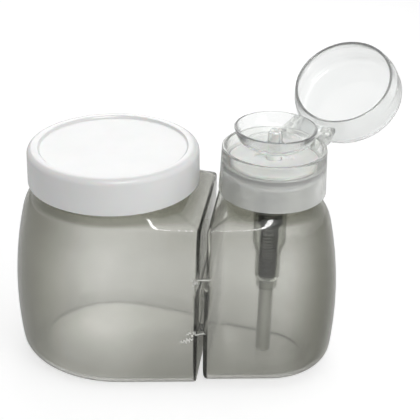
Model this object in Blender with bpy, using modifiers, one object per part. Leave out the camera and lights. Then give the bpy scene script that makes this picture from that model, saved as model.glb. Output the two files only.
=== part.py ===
"""Twin toiletry container: a cotton jar with a screw lid, joined to a bottle with a push-down pump.

Metres, +Z up. The origin is on the base plane, on the jar's axis. The bottle stands towards +X
and the front of the container looks towards -Y. The pump's flip cap is modelled open.
"""

import math

import bmesh
import bpy
from mathutils import Matrix, Vector

# Clearances
SEAT_GAP = 0.0003            # between two pieces that rest on each other
SLIDE_GAP = 0.0003           # around a piece that slides or turns in another
THREAD_GAP = 0.0004          # between the crest of one thread and the root of the other
THREAD_SUNK = 0.0004         # root of a thread inside the wall that carries it
THREAD_ROOT_SHARE = 0.40     # height of a thread at its root, in pitches
THREAD_CREST_SHARE = 0.18
EDGE_BREAK = 0.0004          # chamfer on the edges of the turned mouldings

# Container, both vessels
AXIS_SPACING = 0.0580        # jar axis to bottle axis
VESSEL_WALL = 0.0013
BELLY_HEIGHT = 0.024         # level at which both vessels are widest
SHOULDER_HEIGHT = 0.066      # level of the shoulder's edge
SHOULDER_EDGE_ROUND = 0.0012 # shoulder's edge beside the slot
SHOULDER_SOFT_ROUND = 0.0050 # shoulder's edge along the round end
SHARP_RUN = 0.0200           # length of the sharp edge from the slot wall
SOFT_RUN = 0.0310            # distance from the slot wall at which the edge is fully soft
SLOT_CENTRE = 0.0364         # jar axis to the middle of the slot between the vessels
SLOT_WIDTH = 0.0022
SLOT_CORNER_ROUND = 0.0018   # upright corners of a vessel beside the slot
SLOT_FOOT_ROUND = 0.0016     # rounding of the base beside the slot
WEB_BOTTOM = 0.0277          # the moulded web that joins the two vessels
WEB_TOP = 0.0445
WEB_RECESS = 0.0006          # web face behind the front of the vessels
WEB_MOUTH_ROUND = 0.0030     # rounding of the web's ends towards the front and the back
NECK_ROOT_ROUND = 0.0006     # where a neck rises from its shoulder
NECK_LIP_ROUND = 0.0005

# Jar
JAR_BELLY_REACH = 0.0388     # jar axis to the round end, at the belly
JAR_BELLY_DEPTH = 0.0339     # half the depth at the belly
JAR_SHOULDER_REACH = 0.0330
JAR_SHOULDER_DEPTH = 0.0296
JAR_FOOT_REACH = 0.0370
JAR_FOOT_DEPTH = 0.0320
JAR_BASE_ROUND = 0.0065      # rounding along the outer edge of the base
JAR_NECK_RADIUS = 0.0278
JAR_NECK_BASE = 0.0706
JAR_NECK_HEIGHT = 0.0115     # neck's base to its lip
JAR_NECK_TOP = JAR_NECK_BASE + JAR_NECK_HEIGHT
JAR_THREAD_DEPTH = 0.0014
JAR_THREAD_PITCH = 0.0040
JAR_THREAD_TURNS = 1.1
JAR_THREAD_RISE = 0.0049     # neck's base to the lower end of its thread
JAR_THREAD_START = JAR_NECK_BASE + JAR_THREAD_RISE

# Jar lid
LID_WALL = 0.0018            # at the skirt's edge
LID_DRAFT = 0.0004           # outer radius lost from the skirt's edge to the top
LID_SKIRT_DEPTH = 0.0108     # panel's underside down to the skirt's edge
LID_PANEL = 0.0013
LID_RIM_RAISE = 0.0008       # raised rim above the panel
LID_RIM_WIDTH = 0.0039
LID_RECESS_SLOPE = 0.0006    # run of the slope from the rim down to the panel
LID_EDGE_ROUND = 0.0022
LID_THREAD_DEPTH = 0.0011
LID_THREAD_BELOW = 0.0015    # lid's thread below the neck's thread
LINER_THICKNESS = 0.0010

# Bottle
BOTTLE_BELLY_REACH = 0.0267
BOTTLE_BELLY_DEPTH = 0.0247
BOTTLE_SHOULDER_REACH = 0.0210
BOTTLE_SHOULDER_DEPTH = 0.0197
BOTTLE_FOOT_REACH = 0.0252
BOTTLE_FOOT_DEPTH = 0.0224
BOTTLE_BASE_ROUND = 0.0090
BOTTLE_NECK_RADIUS = 0.0158
BOTTLE_NECK_BASE = 0.0698
BOTTLE_NECK_HEIGHT = 0.0091
BOTTLE_NECK_TOP = BOTTLE_NECK_BASE + BOTTLE_NECK_HEIGHT
BOTTLE_THREAD_DEPTH = 0.0010
BOTTLE_THREAD_PITCH = 0.0030
BOTTLE_THREAD_TURNS = 1.0
BOTTLE_THREAD_RISE = 0.0052
BOTTLE_THREAD_START = BOTTLE_NECK_BASE + BOTTLE_THREAD_RISE

# Pump closure
GASKET_THICKNESS = 0.0010
GASKET_WIDTH = 0.0056
FLANGE_THICKNESS = 0.0012
DECK_THICKNESS = 0.0015
COLLAR_SKIRT_DEPTH = 0.0094  # deck's underside down to the skirt's edge
COLLAR_WALL = 0.0017         # at the skirt's edge
COLLAR_DRAFT = 0.0008        # outer radius lost from the skirt's edge to the rim
COLLAR_THREAD_DEPTH = 0.0005
COLLAR_THREAD_BELOW = 0.0015 # collar's thread below the neck's thread
RING_HEIGHT = 0.0061         # deck's top up to the rim
RING_WALL = 0.0014
RING_DRAFT = 0.0002          # bore lost from the rim to the deck
PLATE_THICKNESS = 0.0012     # guide plate on the deck
PLATE_RIM_GAP = 0.0012       # plate's edge to the ring's wall
DIMPLE_RADIUS = 0.0020       # two round dimples in the plate, one to each side of the post
DIMPLE_DEPTH = 0.0007
DIMPLE_ORBIT = 0.0052
DIMPLE_ANGLE = 83.0          # degrees from the back

# Pump housing
HOUSING_WALL = 0.0010
HOUSING_UPPER_RADIUS = 0.0062
HOUSING_STEP = 0.0060        # height of the cone between the two bores
HOUSING_STEP_MARGIN = 0.0025 # piston's lowest level above the cone
HOUSING_FLOOR = 0.0365       # level of the inlet valve's seat
HOUSING_SEAT = 0.0012        # thickness of the valve's seat
HOUSING_SOCKET_DEPTH = 0.0035
TUBE_RADIUS = 0.0027
TUBE_WALL = 0.0009
TUBE_FOOT_GAP = 0.0012       # dip tube's foot above the bottle's floor
INLET_BALL_RADIUS = 0.0015
BALL_TRAVEL = 0.0010
VALVE_HOLE_RADIUS = 0.0008
OUTLET_HOLE_RADIUS = 0.0006  # in the middle of the dish's post
BALL_SEAT_SLOPE = 0.0004     # height of the cone that stops the outlet ball
CAGE_TOP = 0.0010            # thickness of the cage's top
CAGE_WALL = 0.0006
CAGE_FLANGE = 0.0008         # thickness of the cage's foot, under the spring

# Pump stem, spring and dish
STEM_RADIUS = 0.0025
STROKE = 0.0048
PISTON_FLOOR = 0.0017
PISTON_HEIGHT = 0.0042
PISTON_LIP = 0.0007          # thickness of the upper lip
PISTON_WAIST = 0.0005        # waist's depth between the two lips
PISTON_CUP = 0.0008          # top of the stem's socket below the upper lip
PISTON_EDGE = 0.0003         # chamfer on the lips
PISTON_LEVEL = 0.0592        # level of the piston's underside with the pump at rest
OUTLET_BALL_RADIUS = 0.0012
SPIGOT_RADIUS = 0.0014
SPRING_WIRE = 0.0007         # wire diameter
SPRING_TURNS = 11
SPRING_END_RISE = 0.0012     # rise of the first and the last turn
DISH_RADIUS = 0.0147
DISH_DEPTH = 0.0069          # rim above the dish's underside
DISH_WALL = 0.0009
DISH_FLOOR_RADIUS = 0.0100
HUB_RADIUS = 0.0024          # post in the middle of the dish, at its top
HUB_BELOW_RIM = 0.0014
HUB_TOP_THICKNESS = 0.0007
HUB_FLARE = 0.0003           # radius gained from the post's top to its foot
DISH_SIDE_LEVEL = 0.0025     # bend in the dish's side above its underside
DISH_SIDE_RADIUS = 0.0132    # outer radius at that bend

# Flip cap and its hinge
CAP_WALL = 0.0011
CAP_OVERHANG = 0.0004        # cap's rim beyond the ring's
CAP_FLARE = 0.0026           # radius gained from the rim to the widest level
CAP_FLARE_HEIGHT = 0.0105
CAP_HEIGHT = 0.0145
CAP_BEND_LEVEL = 0.0047      # bend in the cap's side above its rim
CAP_BEND_FLARE = 0.0016      # radius gained from the rim to that bend
HINGE_DIRECTION = 62.7       # degrees from +X, seen from above
HINGE_REACH = 0.0268         # pump axis to hinge axis
HINGE_BELOW_RIM = 0.0037
CAP_OPENING = 142.0          # degrees from closed to the open stop
KNUCKLE_RADIUS = 0.0033
TONGUE_HALF_WIDTH = 0.0050
TONGUE_END_RADIUS = 0.0016   # tongue's end inside the cap's wall
TONGUE_END_RISE = 0.0034     # that end above the cap's rim
EAR_THICKNESS = 0.0026
PIVOT_RADIUS = 0.0012

# Facets
ARC_STEPS = 10               # each half of a vessel's round end
WALL_STEPS = 3               # each half of a vessel's flat wall at the slot
CORNER_STEPS = 3
FRONT_STEPS = 3
SIDE_LEVELS = 6              # rings between the base's rounding and the shoulder
BIG_STEPS = 40               # turned pieces as wide as the jar's neck
PUMP_STEPS = 32              # collar, cap and dish
SMALL_STEPS = 18             # pieces inside the pump
COIL_POINTS = 9              # points in one turn of the spring

# Derived levels and radii
LID_BORE = JAR_NECK_RADIUS + JAR_THREAD_DEPTH + THREAD_GAP
LID_RADIUS = LID_BORE + LID_WALL
LINER_BOTTOM = JAR_NECK_TOP + SEAT_GAP
LID_PANEL_BOTTOM = LINER_BOTTOM + LINER_THICKNESS + SEAT_GAP
LID_PANEL_TOP = LID_PANEL_BOTTOM + LID_PANEL

COLLAR_BORE = BOTTLE_NECK_RADIUS + BOTTLE_THREAD_DEPTH + THREAD_GAP + COLLAR_THREAD_DEPTH
COLLAR_RADIUS = COLLAR_BORE + COLLAR_WALL
GASKET_BOTTOM = BOTTLE_NECK_TOP + SEAT_GAP
FLANGE_BOTTOM = GASKET_BOTTOM + GASKET_THICKNESS + SEAT_GAP
DECK_BOTTOM = FLANGE_BOTTOM + FLANGE_THICKNESS + SEAT_GAP
DECK_TOP = DECK_BOTTOM + DECK_THICKNESS
COLLAR_FOOT = DECK_BOTTOM - COLLAR_SKIRT_DEPTH
RIM_LEVEL = DECK_TOP + RING_HEIGHT
RIM_RADIUS = COLLAR_RADIUS - COLLAR_DRAFT
RING_BORE = RIM_RADIUS - RING_WALL
PLATE_BOTTOM = DECK_TOP + SEAT_GAP
PLATE_TOP = PLATE_BOTTOM + PLATE_THICKNESS

UPPER_BORE = HOUSING_UPPER_RADIUS - HOUSING_WALL
CAGE_RADIUS = INLET_BALL_RADIUS + SLIDE_GAP + CAGE_WALL
SPRING_RADIUS = CAGE_RADIUS + SLIDE_GAP + SPRING_WIRE / 2.0   # middle of the wire
LOWER_BORE = SPRING_RADIUS + SPRING_WIRE / 2.0 + SLIDE_GAP
HOUSING_STEP_TOP = PISTON_LEVEL - STROKE - HOUSING_STEP_MARGIN
HOUSING_STEP_BOTTOM = HOUSING_STEP_TOP - HOUSING_STEP
SOCKET_BORE = TUBE_RADIUS + SEAT_GAP
SOCKET_TOP = HOUSING_FLOOR - HOUSING_SEAT
HOUSING_FOOT = SOCKET_TOP - HOUSING_SOCKET_DEPTH
TUBE_TOP = SOCKET_TOP - SEAT_GAP
TUBE_FOOT = VESSEL_WALL + TUBE_FOOT_GAP
INLET_BALL_LEVEL = HOUSING_FLOOR + SEAT_GAP + INLET_BALL_RADIUS
CAGE_CEILING = INLET_BALL_LEVEL + INLET_BALL_RADIUS + BALL_TRAVEL + SLIDE_GAP
CAGE_LEVEL = CAGE_CEILING + CAGE_TOP
SPRING_BOTTOM = HOUSING_FLOOR + SEAT_GAP + CAGE_FLANGE + SEAT_GAP
SPRING_TOP = PISTON_LEVEL - SEAT_GAP
GUIDE_FOOT = PISTON_LEVEL + PISTON_HEIGHT + SEAT_GAP   # the guide's tube stops the piston here

DISH_BOTTOM = PLATE_TOP + STROKE + SLIDE_GAP
DISH_RIM = DISH_BOTTOM + DISH_DEPTH
HUB_TOP = DISH_RIM - HUB_BELOW_RIM
STEM_FOOT = PISTON_LEVEL + PISTON_FLOOR + SEAT_GAP
STEM_SHOULDER = DISH_BOTTOM - SEAT_GAP
OUTLET_BALL_LEVEL = PISTON_LEVEL + PISTON_FLOOR + SEAT_GAP + OUTLET_BALL_RADIUS
OUTLET_CEILING = OUTLET_BALL_LEVEL + OUTLET_BALL_RADIUS + BALL_TRAVEL + SLIDE_GAP
OUTLET_CHAMBER = OUTLET_BALL_RADIUS + SLIDE_GAP

CAP_RIM_LEVEL = RIM_LEVEL + SEAT_GAP
CAP_RIM_RADIUS = RIM_RADIUS + CAP_OVERHANG
HINGE_LEVEL = RIM_LEVEL - HINGE_BELOW_RIM
HINGE_YAW = math.radians(HINGE_DIRECTION)
HINGE_X = AXIS_SPACING + HINGE_REACH * math.cos(HINGE_YAW)
HINGE_Y = HINGE_REACH * math.sin(HINGE_YAW)
EAR_INNER = TONGUE_HALF_WIDTH + SLIDE_GAP

JAR_AXIS = (0.0, 0.0)
PUMP_AXIS = (AXIS_SPACING, 0.0)
MERGE = 0.00001


def clear_scene():
    for item in list(bpy.data.objects):
        bpy.data.objects.remove(item, do_unlink=True)


def make_collection(name):
    collection = bpy.data.collections.new(name)
    bpy.context.scene.collection.children.link(collection)
    return collection


def make_material(name, colour, roughness, metallic=0.0, alpha=1.0, transmission=0.0):
    material = bpy.data.materials.new(name)
    material.use_nodes = True
    shader = material.node_tree.nodes["Principled BSDF"]
    shader.inputs["Base Color"].default_value = (*colour, 1.0)
    shader.inputs["Roughness"].default_value = roughness
    shader.inputs["Metallic"].default_value = metallic
    shader.inputs["Alpha"].default_value = alpha
    shader.inputs["Transmission Weight"].default_value = transmission
    material.diffuse_color = (*colour, alpha)
    return material


def add_object(name, mesh, material=None):
    """Adds a part, or a cutter when it has no material."""
    item = bpy.data.objects.new(name, mesh)
    if material is None:
        CUTTERS.objects.link(item)
        item.hide_render = True
        item.display_type = "WIRE"
    else:
        PARTS.objects.link(item)
        item.data.materials.append(material)
    return item


def finish(item):
    """Applies the modifiers, so that the round faces can be shaded smooth."""
    graph = bpy.context.evaluated_depsgraph_get()
    mesh = bpy.data.meshes.new_from_object(item.evaluated_get(graph), depsgraph=graph)
    mesh.name = item.name
    item.modifiers.clear()
    item.data = mesh
    mesh.shade_smooth()
    mesh.set_sharp_from_angle(angle=math.radians(35))


def turned(name, profile, axis, steps, material=None):
    """Turns a profile of (radius, height) points, which runs down the outer side.

    A profile that ends on the axis at both ends makes a solid without a bore, and any other
    profile is closed into a ring.
    """
    mesh = bpy.data.meshes.new(name)
    points = [(radius, 0.0, height) for radius, height in profile]
    edges = [(i, i + 1) for i in range(len(points) - 1)]
    if profile[0][0] > 0.0 or profile[-1][0] > 0.0:
        edges.append((len(points) - 1, 0))
    mesh.from_pydata(points, edges, [])
    item = add_object(name, mesh, material)
    item.location = (axis[0], axis[1], 0.0)
    screw = item.modifiers.new("turn", "SCREW")
    screw.angle = 2.0 * math.pi
    screw.steps = steps
    screw.render_steps = steps
    screw.use_merge_vertices = True
    screw.merge_threshold = MERGE
    screw.use_smooth_shade = False
    return item


def combine(item, other, operation):
    boolean = item.modifiers.new(operation.lower(), "BOOLEAN")
    boolean.operation = operation
    boolean.solver = "EXACT"
    boolean.object = other


def arc(centre, radius, start, end, steps):
    """Points of an arc from one angle to another, in degrees."""
    points = []
    for i in range(steps + 1):
        angle = math.radians(start + (end - start) * i / steps)
        points.append((centre[0] + radius * math.cos(angle), centre[1] + radius * math.sin(angle)))
    return points


def front_taper(jar_reach, jar_depth, bottle_reach, bottle_depth):
    """Slope of the flat front that touches the round end of both vessels."""
    slope = 0.0
    for _ in range(30):
        jar_side = math.hypot(jar_depth, slope * jar_reach)
        bottle_side = math.hypot(bottle_depth, slope * bottle_reach)
        slope = (jar_side - bottle_side) / AXIS_SPACING
    return slope


def plan(reach, depth, slope, wall, corner):
    """Half of a vessel's outline, from the middle of its slot wall to the tip of its round end.

    Points are (outward, sideways) from the vessel's axis. The round end is half an ellipse, the
    front runs from it along its tangent to the slot wall, and the corner there is rounded.
    """
    side = math.hypot(depth, slope * reach)
    stretch = math.hypot(1.0, slope)
    centre = (-wall + corner, side + slope * (-wall + corner) - corner * stretch)
    points = [(-wall, centre[1] * i / WALL_STEPS) for i in range(WALL_STEPS)]
    lean = math.degrees(math.atan(slope))
    points += arc(centre, corner, 180.0, 90.0 + lean, CORNER_STEPS)
    start = Vector(points[-1])
    touch = Vector((-slope * reach ** 2 / side, depth ** 2 / side))
    points += [tuple(start.lerp(touch, i / FRONT_STEPS)) for i in range(1, FRONT_STEPS)]
    first = math.atan2(touch.y / depth, touch.x / reach)
    for i in range(ARC_STEPS + 1):
        angle = first * (1.0 - i / ARC_STEPS)
        points.append((reach * math.cos(angle), depth * math.sin(angle)))
    return points


def full_plan(half):
    """The whole outline, anticlockwise, from half of it."""
    mirrored = [(outward, -sideways) for outward, sideways in half[1:-1]]
    return mirrored + [half[-1]] + half[-2:0:-1] + [half[0]]


def shoulder_round(outward, slot_wall):
    """Rounding of the shoulder's edge: sharp beside the slot, growing softer towards the round end."""
    share = (outward + slot_wall - SHARP_RUN) / (SOFT_RUN - SHARP_RUN)
    share = min(1.0, max(0.0, share))
    eased = share * share * (3.0 - 2.0 * share)
    return SHOULDER_EDGE_ROUND + (SHOULDER_SOFT_ROUND - SHOULDER_EDGE_ROUND) * eased


def vessel_rings(sizes, direction):
    """Rings of a vessel's outer surface from the base to the top of the neck."""
    axis_x, outward, slot_wall, level_sizes, base_round, neck_radius, neck_base, neck_top = sizes

    def outline(height, inset, slot_inset):
        jar = level_reach(height, JAR_SIZES)
        bottle = level_reach(height, BOTTLE_SIZES)
        slope = front_taper(*jar, *bottle) * direction
        reach, depth = level_reach(height, level_sizes)
        half = plan(reach - inset, depth - inset, slope, slot_wall - slot_inset, SLOT_CORNER_ROUND)
        return full_plan(half)

    def place_points(points):
        ring = [(axis_x + outward * u, v, height) for u, v, height in points]
        return ring if outward > 0 else ring[::-1]

    def place(points, height):
        return place_points([(u, v, height) for u, v in points])

    rings = []
    for degrees in (0.0, 25.0, 50.0, 70.0):
        turn = math.radians(degrees)
        height = base_round * (1.0 - math.cos(turn))
        share = 1.0 - math.sin(turn)
        rings.append(place(outline(height, base_round * share, SLOT_FOOT_ROUND * share), height))
    side_top = SHOULDER_HEIGHT - SHOULDER_SOFT_ROUND * 1.1
    for i in range(SIDE_LEVELS + 1):
        height = base_round + (side_top - base_round) * i / SIDE_LEVELS
        rings.append(place(outline(height, 0.0, 0.0), height))
    edge = outline(SHOULDER_HEIGHT, 0.0, 0.0)

    def circle(radius):
        return [tuple(Vector(point).normalized() * radius) for point in edge]

    paths = []
    for low, corner, foot in zip(outline(side_top, 0.0, 0.0), edge, circle(neck_radius + NECK_ROOT_ROUND)):
        size = shoulder_round(corner[0], slot_wall)
        low = Vector((*low, side_top))
        corner = Vector((*corner, SHOULDER_HEIGHT))
        foot = Vector((*foot, neck_base))
        first = corner.lerp(low, size / (low - corner).length)
        last = corner.lerp(foot, min(0.5, size / (foot - corner).length))
        path = [first.lerp(corner, t).lerp(corner.lerp(last, t), t) for t in (0.0, 0.3, 0.7, 1.0)]
        paths.append(path + [last.lerp(foot, 0.5), foot])
    for ring in zip(*paths):
        rings.append(place_points(ring))
    for radius, height in arc((neck_radius + NECK_ROOT_ROUND, neck_base + NECK_ROOT_ROUND),
                              NECK_ROOT_ROUND, 225.0, 180.0, 1):
        rings.append(place(circle(radius), height))
    for radius, height in arc((neck_radius - NECK_LIP_ROUND, neck_top - NECK_LIP_ROUND),
                              NECK_LIP_ROUND, 0.0, 90.0, 1):
        rings.append(place(circle(radius), height))
    return rings


def level_reach(height, level_sizes):
    """Reach and half depth of a vessel at a level of its barrel-shaped side."""
    belly, shoulder, foot = level_sizes
    if height >= BELLY_HEIGHT:
        other, share = shoulder, (height - BELLY_HEIGHT) / (SHOULDER_HEIGHT - BELLY_HEIGHT)
    else:
        other, share = foot, (BELLY_HEIGHT - height) / BELLY_HEIGHT
    return tuple(a + (b - a) * share ** 2 for a, b in zip(belly, other))


def loft(name, rings, material):
    """An open shell through rings of equal point count, closed by a flat base."""
    mesh = bpy.data.meshes.new(name)
    shell = bmesh.new()
    loops = [[shell.verts.new(point) for point in ring] for ring in rings]
    shell.faces.new(loops[0][::-1])
    count = len(loops[0])
    for lower, upper in zip(loops, loops[1:]):
        for i in range(count):
            j = (i + 1) % count
            shell.faces.new((lower[i], lower[j], upper[j], upper[i]))
    shell.to_mesh(mesh)
    shell.free()
    item = add_object(name, mesh, material)
    solidify = item.modifiers.new("wall", "SOLIDIFY")
    solidify.thickness = VESSEL_WALL
    solidify.offset = -1.0
    solidify.use_even_offset = True
    return item


def thread(name, axis, root, crest, start, pitch, turns, steps):
    """A helical ridge that rises anticlockwise. Its root lies a little inside the wall."""
    sunk = THREAD_SUNK if crest > root else -THREAD_SUNK
    root_half = pitch * THREAD_ROOT_SHARE / 2.0
    crest_half = pitch * THREAD_CREST_SHARE / 2.0
    mesh = bpy.data.meshes.new(name)
    ridge = bmesh.new()
    count = round(steps * turns)
    fade = max(2, steps // 10)
    sections = []
    for i in range(count + 1):
        height = start + pitch * i / steps
        angle = 2.0 * math.pi * i / steps
        share = min(1.0, (i + 0.6) / fade, (count - i + 0.6) / fade)
        tip = root + (crest - root) * share
        foot = root - sunk
        outline = ((foot, -root_half), (tip, -crest_half), (tip, crest_half), (foot, root_half))
        section = []
        for radius, rise in outline:
            point = (axis[0] + radius * math.cos(angle), axis[1] + radius * math.sin(angle), height + rise)
            section.append(ridge.verts.new(point))
        sections.append(section)
    for a, b in zip(sections, sections[1:]):
        for k in range(4):
            n = (k + 1) % 4
            ridge.faces.new((a[k], b[k], b[n], a[n]))
    ridge.faces.new(sections[0])
    ridge.faces.new(sections[-1][::-1])
    bmesh.ops.recalc_face_normals(ridge, faces=ridge.faces)
    ridge.to_mesh(mesh)
    ridge.free()
    return add_object(name, mesh)


def extruded(name, outline, half_width, middle, frame):
    """A flat outline of (outward, up) points, given a width along the hinge's axis."""
    mesh = bpy.data.meshes.new(name)
    plate = bmesh.new()
    near = [plate.verts.new((u, middle - half_width, z)) for u, z in outline]
    far = [plate.verts.new((u, middle + half_width, z)) for u, z in outline]
    plate.faces.new(near)
    plate.faces.new(far[::-1])
    for i in range(len(near)):
        j = (i + 1) % len(near)
        plate.faces.new((near[j], near[i], far[i], far[j]))
    bmesh.ops.recalc_face_normals(plate, faces=plate.faces)
    plate.transform(frame)
    plate.to_mesh(mesh)
    plate.free()
    return add_object(name, mesh)


def rod(name, radius, half_length, frame, steps=16):
    """A cylinder along the hinge's axis."""
    mesh = bpy.data.meshes.new(name)
    shape = bmesh.new()
    bmesh.ops.create_cone(shape, cap_ends=True, segments=steps, radius1=radius, radius2=radius,
                          depth=2.0 * half_length)
    shape.transform(frame @ Matrix.Rotation(math.radians(90), 4, "X"))
    shape.to_mesh(mesh)
    shape.free()
    return add_object(name, mesh)


def ball(name, radius, axis, height, material):
    mesh = bpy.data.meshes.new(name)
    shape = bmesh.new()
    bmesh.ops.create_uvsphere(shape, u_segments=14, v_segments=9, radius=radius)
    shape.to_mesh(mesh)
    shape.free()
    item = add_object(name, mesh, material)
    item.location = (axis[0], axis[1], height)
    finish(item)
    return item


JAR_SIZES = (
    (JAR_BELLY_REACH, JAR_BELLY_DEPTH),
    (JAR_SHOULDER_REACH, JAR_SHOULDER_DEPTH),
    (JAR_FOOT_REACH, JAR_FOOT_DEPTH),
)
BOTTLE_SIZES = (
    (BOTTLE_BELLY_REACH, BOTTLE_BELLY_DEPTH),
    (BOTTLE_SHOULDER_REACH, BOTTLE_SHOULDER_DEPTH),
    (BOTTLE_FOOT_REACH, BOTTLE_FOOT_DEPTH),
)


def web_half_depth(height):
    """Half the depth of the web's middle at a level, where its face follows the fronts of the vessels."""
    jar = level_reach(height, JAR_SIZES)
    slope = front_taper(*jar, *level_reach(height, BOTTLE_SIZES))
    return math.hypot(jar[1], slope * jar[0]) - slope * SLOT_CENTRE - WEB_RECESS


def web_half(name, near_vessel):
    """Half of the web, from inside one vessel's wall to the middle of the slot.

    It is a loft of upright sections, as deep as the vessels, with a rounded edge at both ends.
    """
    ends = []
    for degrees in (0.0, 30.0, 60.0, 90.0):
        turn = math.radians(degrees)
        ends.append((WEB_MOUTH_ROUND * (1.0 - math.cos(turn)), WEB_MOUTH_ROUND * (1.0 - math.sin(turn))))
    levels = [(WEB_BOTTOM + rise, loss) for rise, loss in ends]
    levels.append(((WEB_BOTTOM + WEB_TOP) / 2.0, 0.0))
    levels += [(WEB_TOP - rise, loss) for rise, loss in ends[::-1]]
    sunk = VESSEL_WALL * 0.5
    if near_vessel == "jar":
        low, high = SLOT_CENTRE - SLOT_WIDTH / 2.0 - sunk, SLOT_CENTRE - SEAT_GAP / 2.0
    else:
        low, high = SLOT_CENTRE + SEAT_GAP / 2.0, SLOT_CENTRE + SLOT_WIDTH / 2.0 + sunk
    mesh = bpy.data.meshes.new(name)
    block = bmesh.new()
    loops = []
    for height, loss in levels:
        half_depth = web_half_depth(height) - loss
        corners = ((low, -half_depth), (high, -half_depth), (high, half_depth), (low, half_depth))
        loops.append([block.verts.new((x, y, height)) for x, y in corners])
    for lower, upper in zip(loops, loops[1:]):
        for i in range(4):
            j = (i + 1) % 4
            block.faces.new((lower[i], lower[j], upper[j], upper[i]))
    block.faces.new(loops[0][::-1])
    block.faces.new(loops[-1])
    block.to_mesh(mesh)
    block.free()
    return add_object(name, mesh)


def make_jar_body():
    wall = SLOT_CENTRE - SLOT_WIDTH / 2.0
    sizes = (0.0, -1.0, wall, JAR_SIZES, JAR_BASE_ROUND, JAR_NECK_RADIUS, JAR_NECK_BASE, JAR_NECK_TOP)
    body = loft("jar_body", vessel_rings(sizes, 1.0), MATERIALS["smoke"])
    crest = JAR_NECK_RADIUS + JAR_THREAD_DEPTH
    ridge = thread("jar_neck_thread", JAR_AXIS, JAR_NECK_RADIUS, crest, JAR_THREAD_START, JAR_THREAD_PITCH,
                   JAR_THREAD_TURNS, BIG_STEPS)
    combine(body, ridge, "UNION")
    combine(body, web_half("jar_web", "jar"), "UNION")
    finish(body)


def make_bottle_body():
    wall = AXIS_SPACING - SLOT_CENTRE - SLOT_WIDTH / 2.0
    sizes = (AXIS_SPACING, 1.0, wall, BOTTLE_SIZES, BOTTLE_BASE_ROUND, BOTTLE_NECK_RADIUS, BOTTLE_NECK_BASE,
             BOTTLE_NECK_TOP)
    body = loft("bottle_body", vessel_rings(sizes, -1.0), MATERIALS["smoke"])
    crest = BOTTLE_NECK_RADIUS + BOTTLE_THREAD_DEPTH
    ridge = thread("bottle_neck_thread", PUMP_AXIS, BOTTLE_NECK_RADIUS, crest, BOTTLE_THREAD_START,
                   BOTTLE_THREAD_PITCH, BOTTLE_THREAD_TURNS, PUMP_STEPS)
    combine(body, ridge, "UNION")
    combine(body, web_half("bottle_web", "bottle"), "UNION")
    finish(body)


def make_jar_lid():
    rim_top = LID_PANEL_TOP + LID_RIM_RAISE
    foot = LID_PANEL_BOTTOM - LID_SKIRT_DEPTH
    top_radius = LID_RADIUS - LID_DRAFT
    recess = top_radius - LID_RIM_WIDTH
    panel_edge = (recess - LID_RECESS_SLOPE, LID_PANEL_TOP)
    edge = arc((top_radius - LID_EDGE_ROUND, rim_top - LID_EDGE_ROUND), LID_EDGE_ROUND, 90.0, 0.0, 4)
    profile = [(0.0, LID_PANEL_TOP), panel_edge, (recess, rim_top)] + edge
    profile += [(LID_RADIUS, foot), (LID_BORE, foot), (LID_BORE, LID_PANEL_BOTTOM), (0.0, LID_PANEL_BOTTOM)]
    lid = turned("jar_lid", profile, JAR_AXIS, BIG_STEPS, MATERIALS["white"])
    ridge = thread("lid_thread", JAR_AXIS, LID_BORE, LID_BORE - LID_THREAD_DEPTH,
                   JAR_THREAD_START - LID_THREAD_BELOW, JAR_THREAD_PITCH, JAR_THREAD_TURNS, BIG_STEPS)
    combine(lid, ridge, "UNION")
    finish(lid)


def make_lid_liner():
    radius = LID_BORE - SEAT_GAP
    top = LINER_BOTTOM + LINER_THICKNESS
    profile = [(0.0, top), (radius, top), (radius, LINER_BOTTOM), (0.0, LINER_BOTTOM)]
    finish(turned("lid_liner", profile, JAR_AXIS, BIG_STEPS, MATERIALS["foam"]))


def hinge_frame():
    """Frame of the hinge: +X outward from the pump, +Y along the hinge's axis."""
    return Matrix.Translation((HINGE_X, HINGE_Y, HINGE_LEVEL)) @ Matrix.Rotation(HINGE_YAW, 4, "Z")


def make_pump_collar():
    hole = HOUSING_UPPER_RADIUS + SEAT_GAP
    profile = [
        (RING_BORE, RIM_LEVEL - EDGE_BREAK), (RING_BORE + EDGE_BREAK, RIM_LEVEL),
        (RIM_RADIUS - EDGE_BREAK, RIM_LEVEL), (RIM_RADIUS, RIM_LEVEL - EDGE_BREAK),
        (COLLAR_RADIUS, COLLAR_FOOT + EDGE_BREAK), (COLLAR_RADIUS - EDGE_BREAK, COLLAR_FOOT),
        (COLLAR_BORE, COLLAR_FOOT), (COLLAR_BORE, DECK_BOTTOM), (hole, DECK_BOTTOM), (hole, DECK_TOP),
        (RING_BORE - RING_DRAFT, DECK_TOP),
    ]
    collar = turned("pump_collar", profile, PUMP_AXIS, PUMP_STEPS, MATERIALS["frost"])
    ridge = thread("collar_thread", PUMP_AXIS, COLLAR_BORE, COLLAR_BORE - COLLAR_THREAD_DEPTH,
                   BOTTLE_THREAD_START - COLLAR_THREAD_BELOW, BOTTLE_THREAD_PITCH, BOTTLE_THREAD_TURNS,
                   PUMP_STEPS)
    combine(collar, ridge, "UNION")
    frame = hinge_frame()
    inside_wall = RING_BORE + RING_WALL * 0.5
    root = math.sqrt(inside_wall ** 2 - (EAR_INNER + EAR_THICKNESS) ** 2) - HINGE_REACH
    outline = [(root, -KNUCKLE_RADIUS)] + arc((0.0, 0.0), KNUCKLE_RADIUS, -90.0, 90.0, 8)
    outline += [(root, KNUCKLE_RADIUS)]
    for side in (-1.0, 1.0):
        middle = side * (EAR_INNER + EAR_THICKNESS / 2.0)
        ear = extruded("hinge_ear_blank", outline, EAR_THICKNESS / 2.0, middle, frame)
        combine(collar, ear, "UNION")
    past_ears = (EAR_INNER + EAR_THICKNESS) * 1.1
    combine(collar, rod("hinge_bore", PIVOT_RADIUS + SLIDE_GAP, past_ears, frame), "DIFFERENCE")
    finish(collar)


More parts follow.
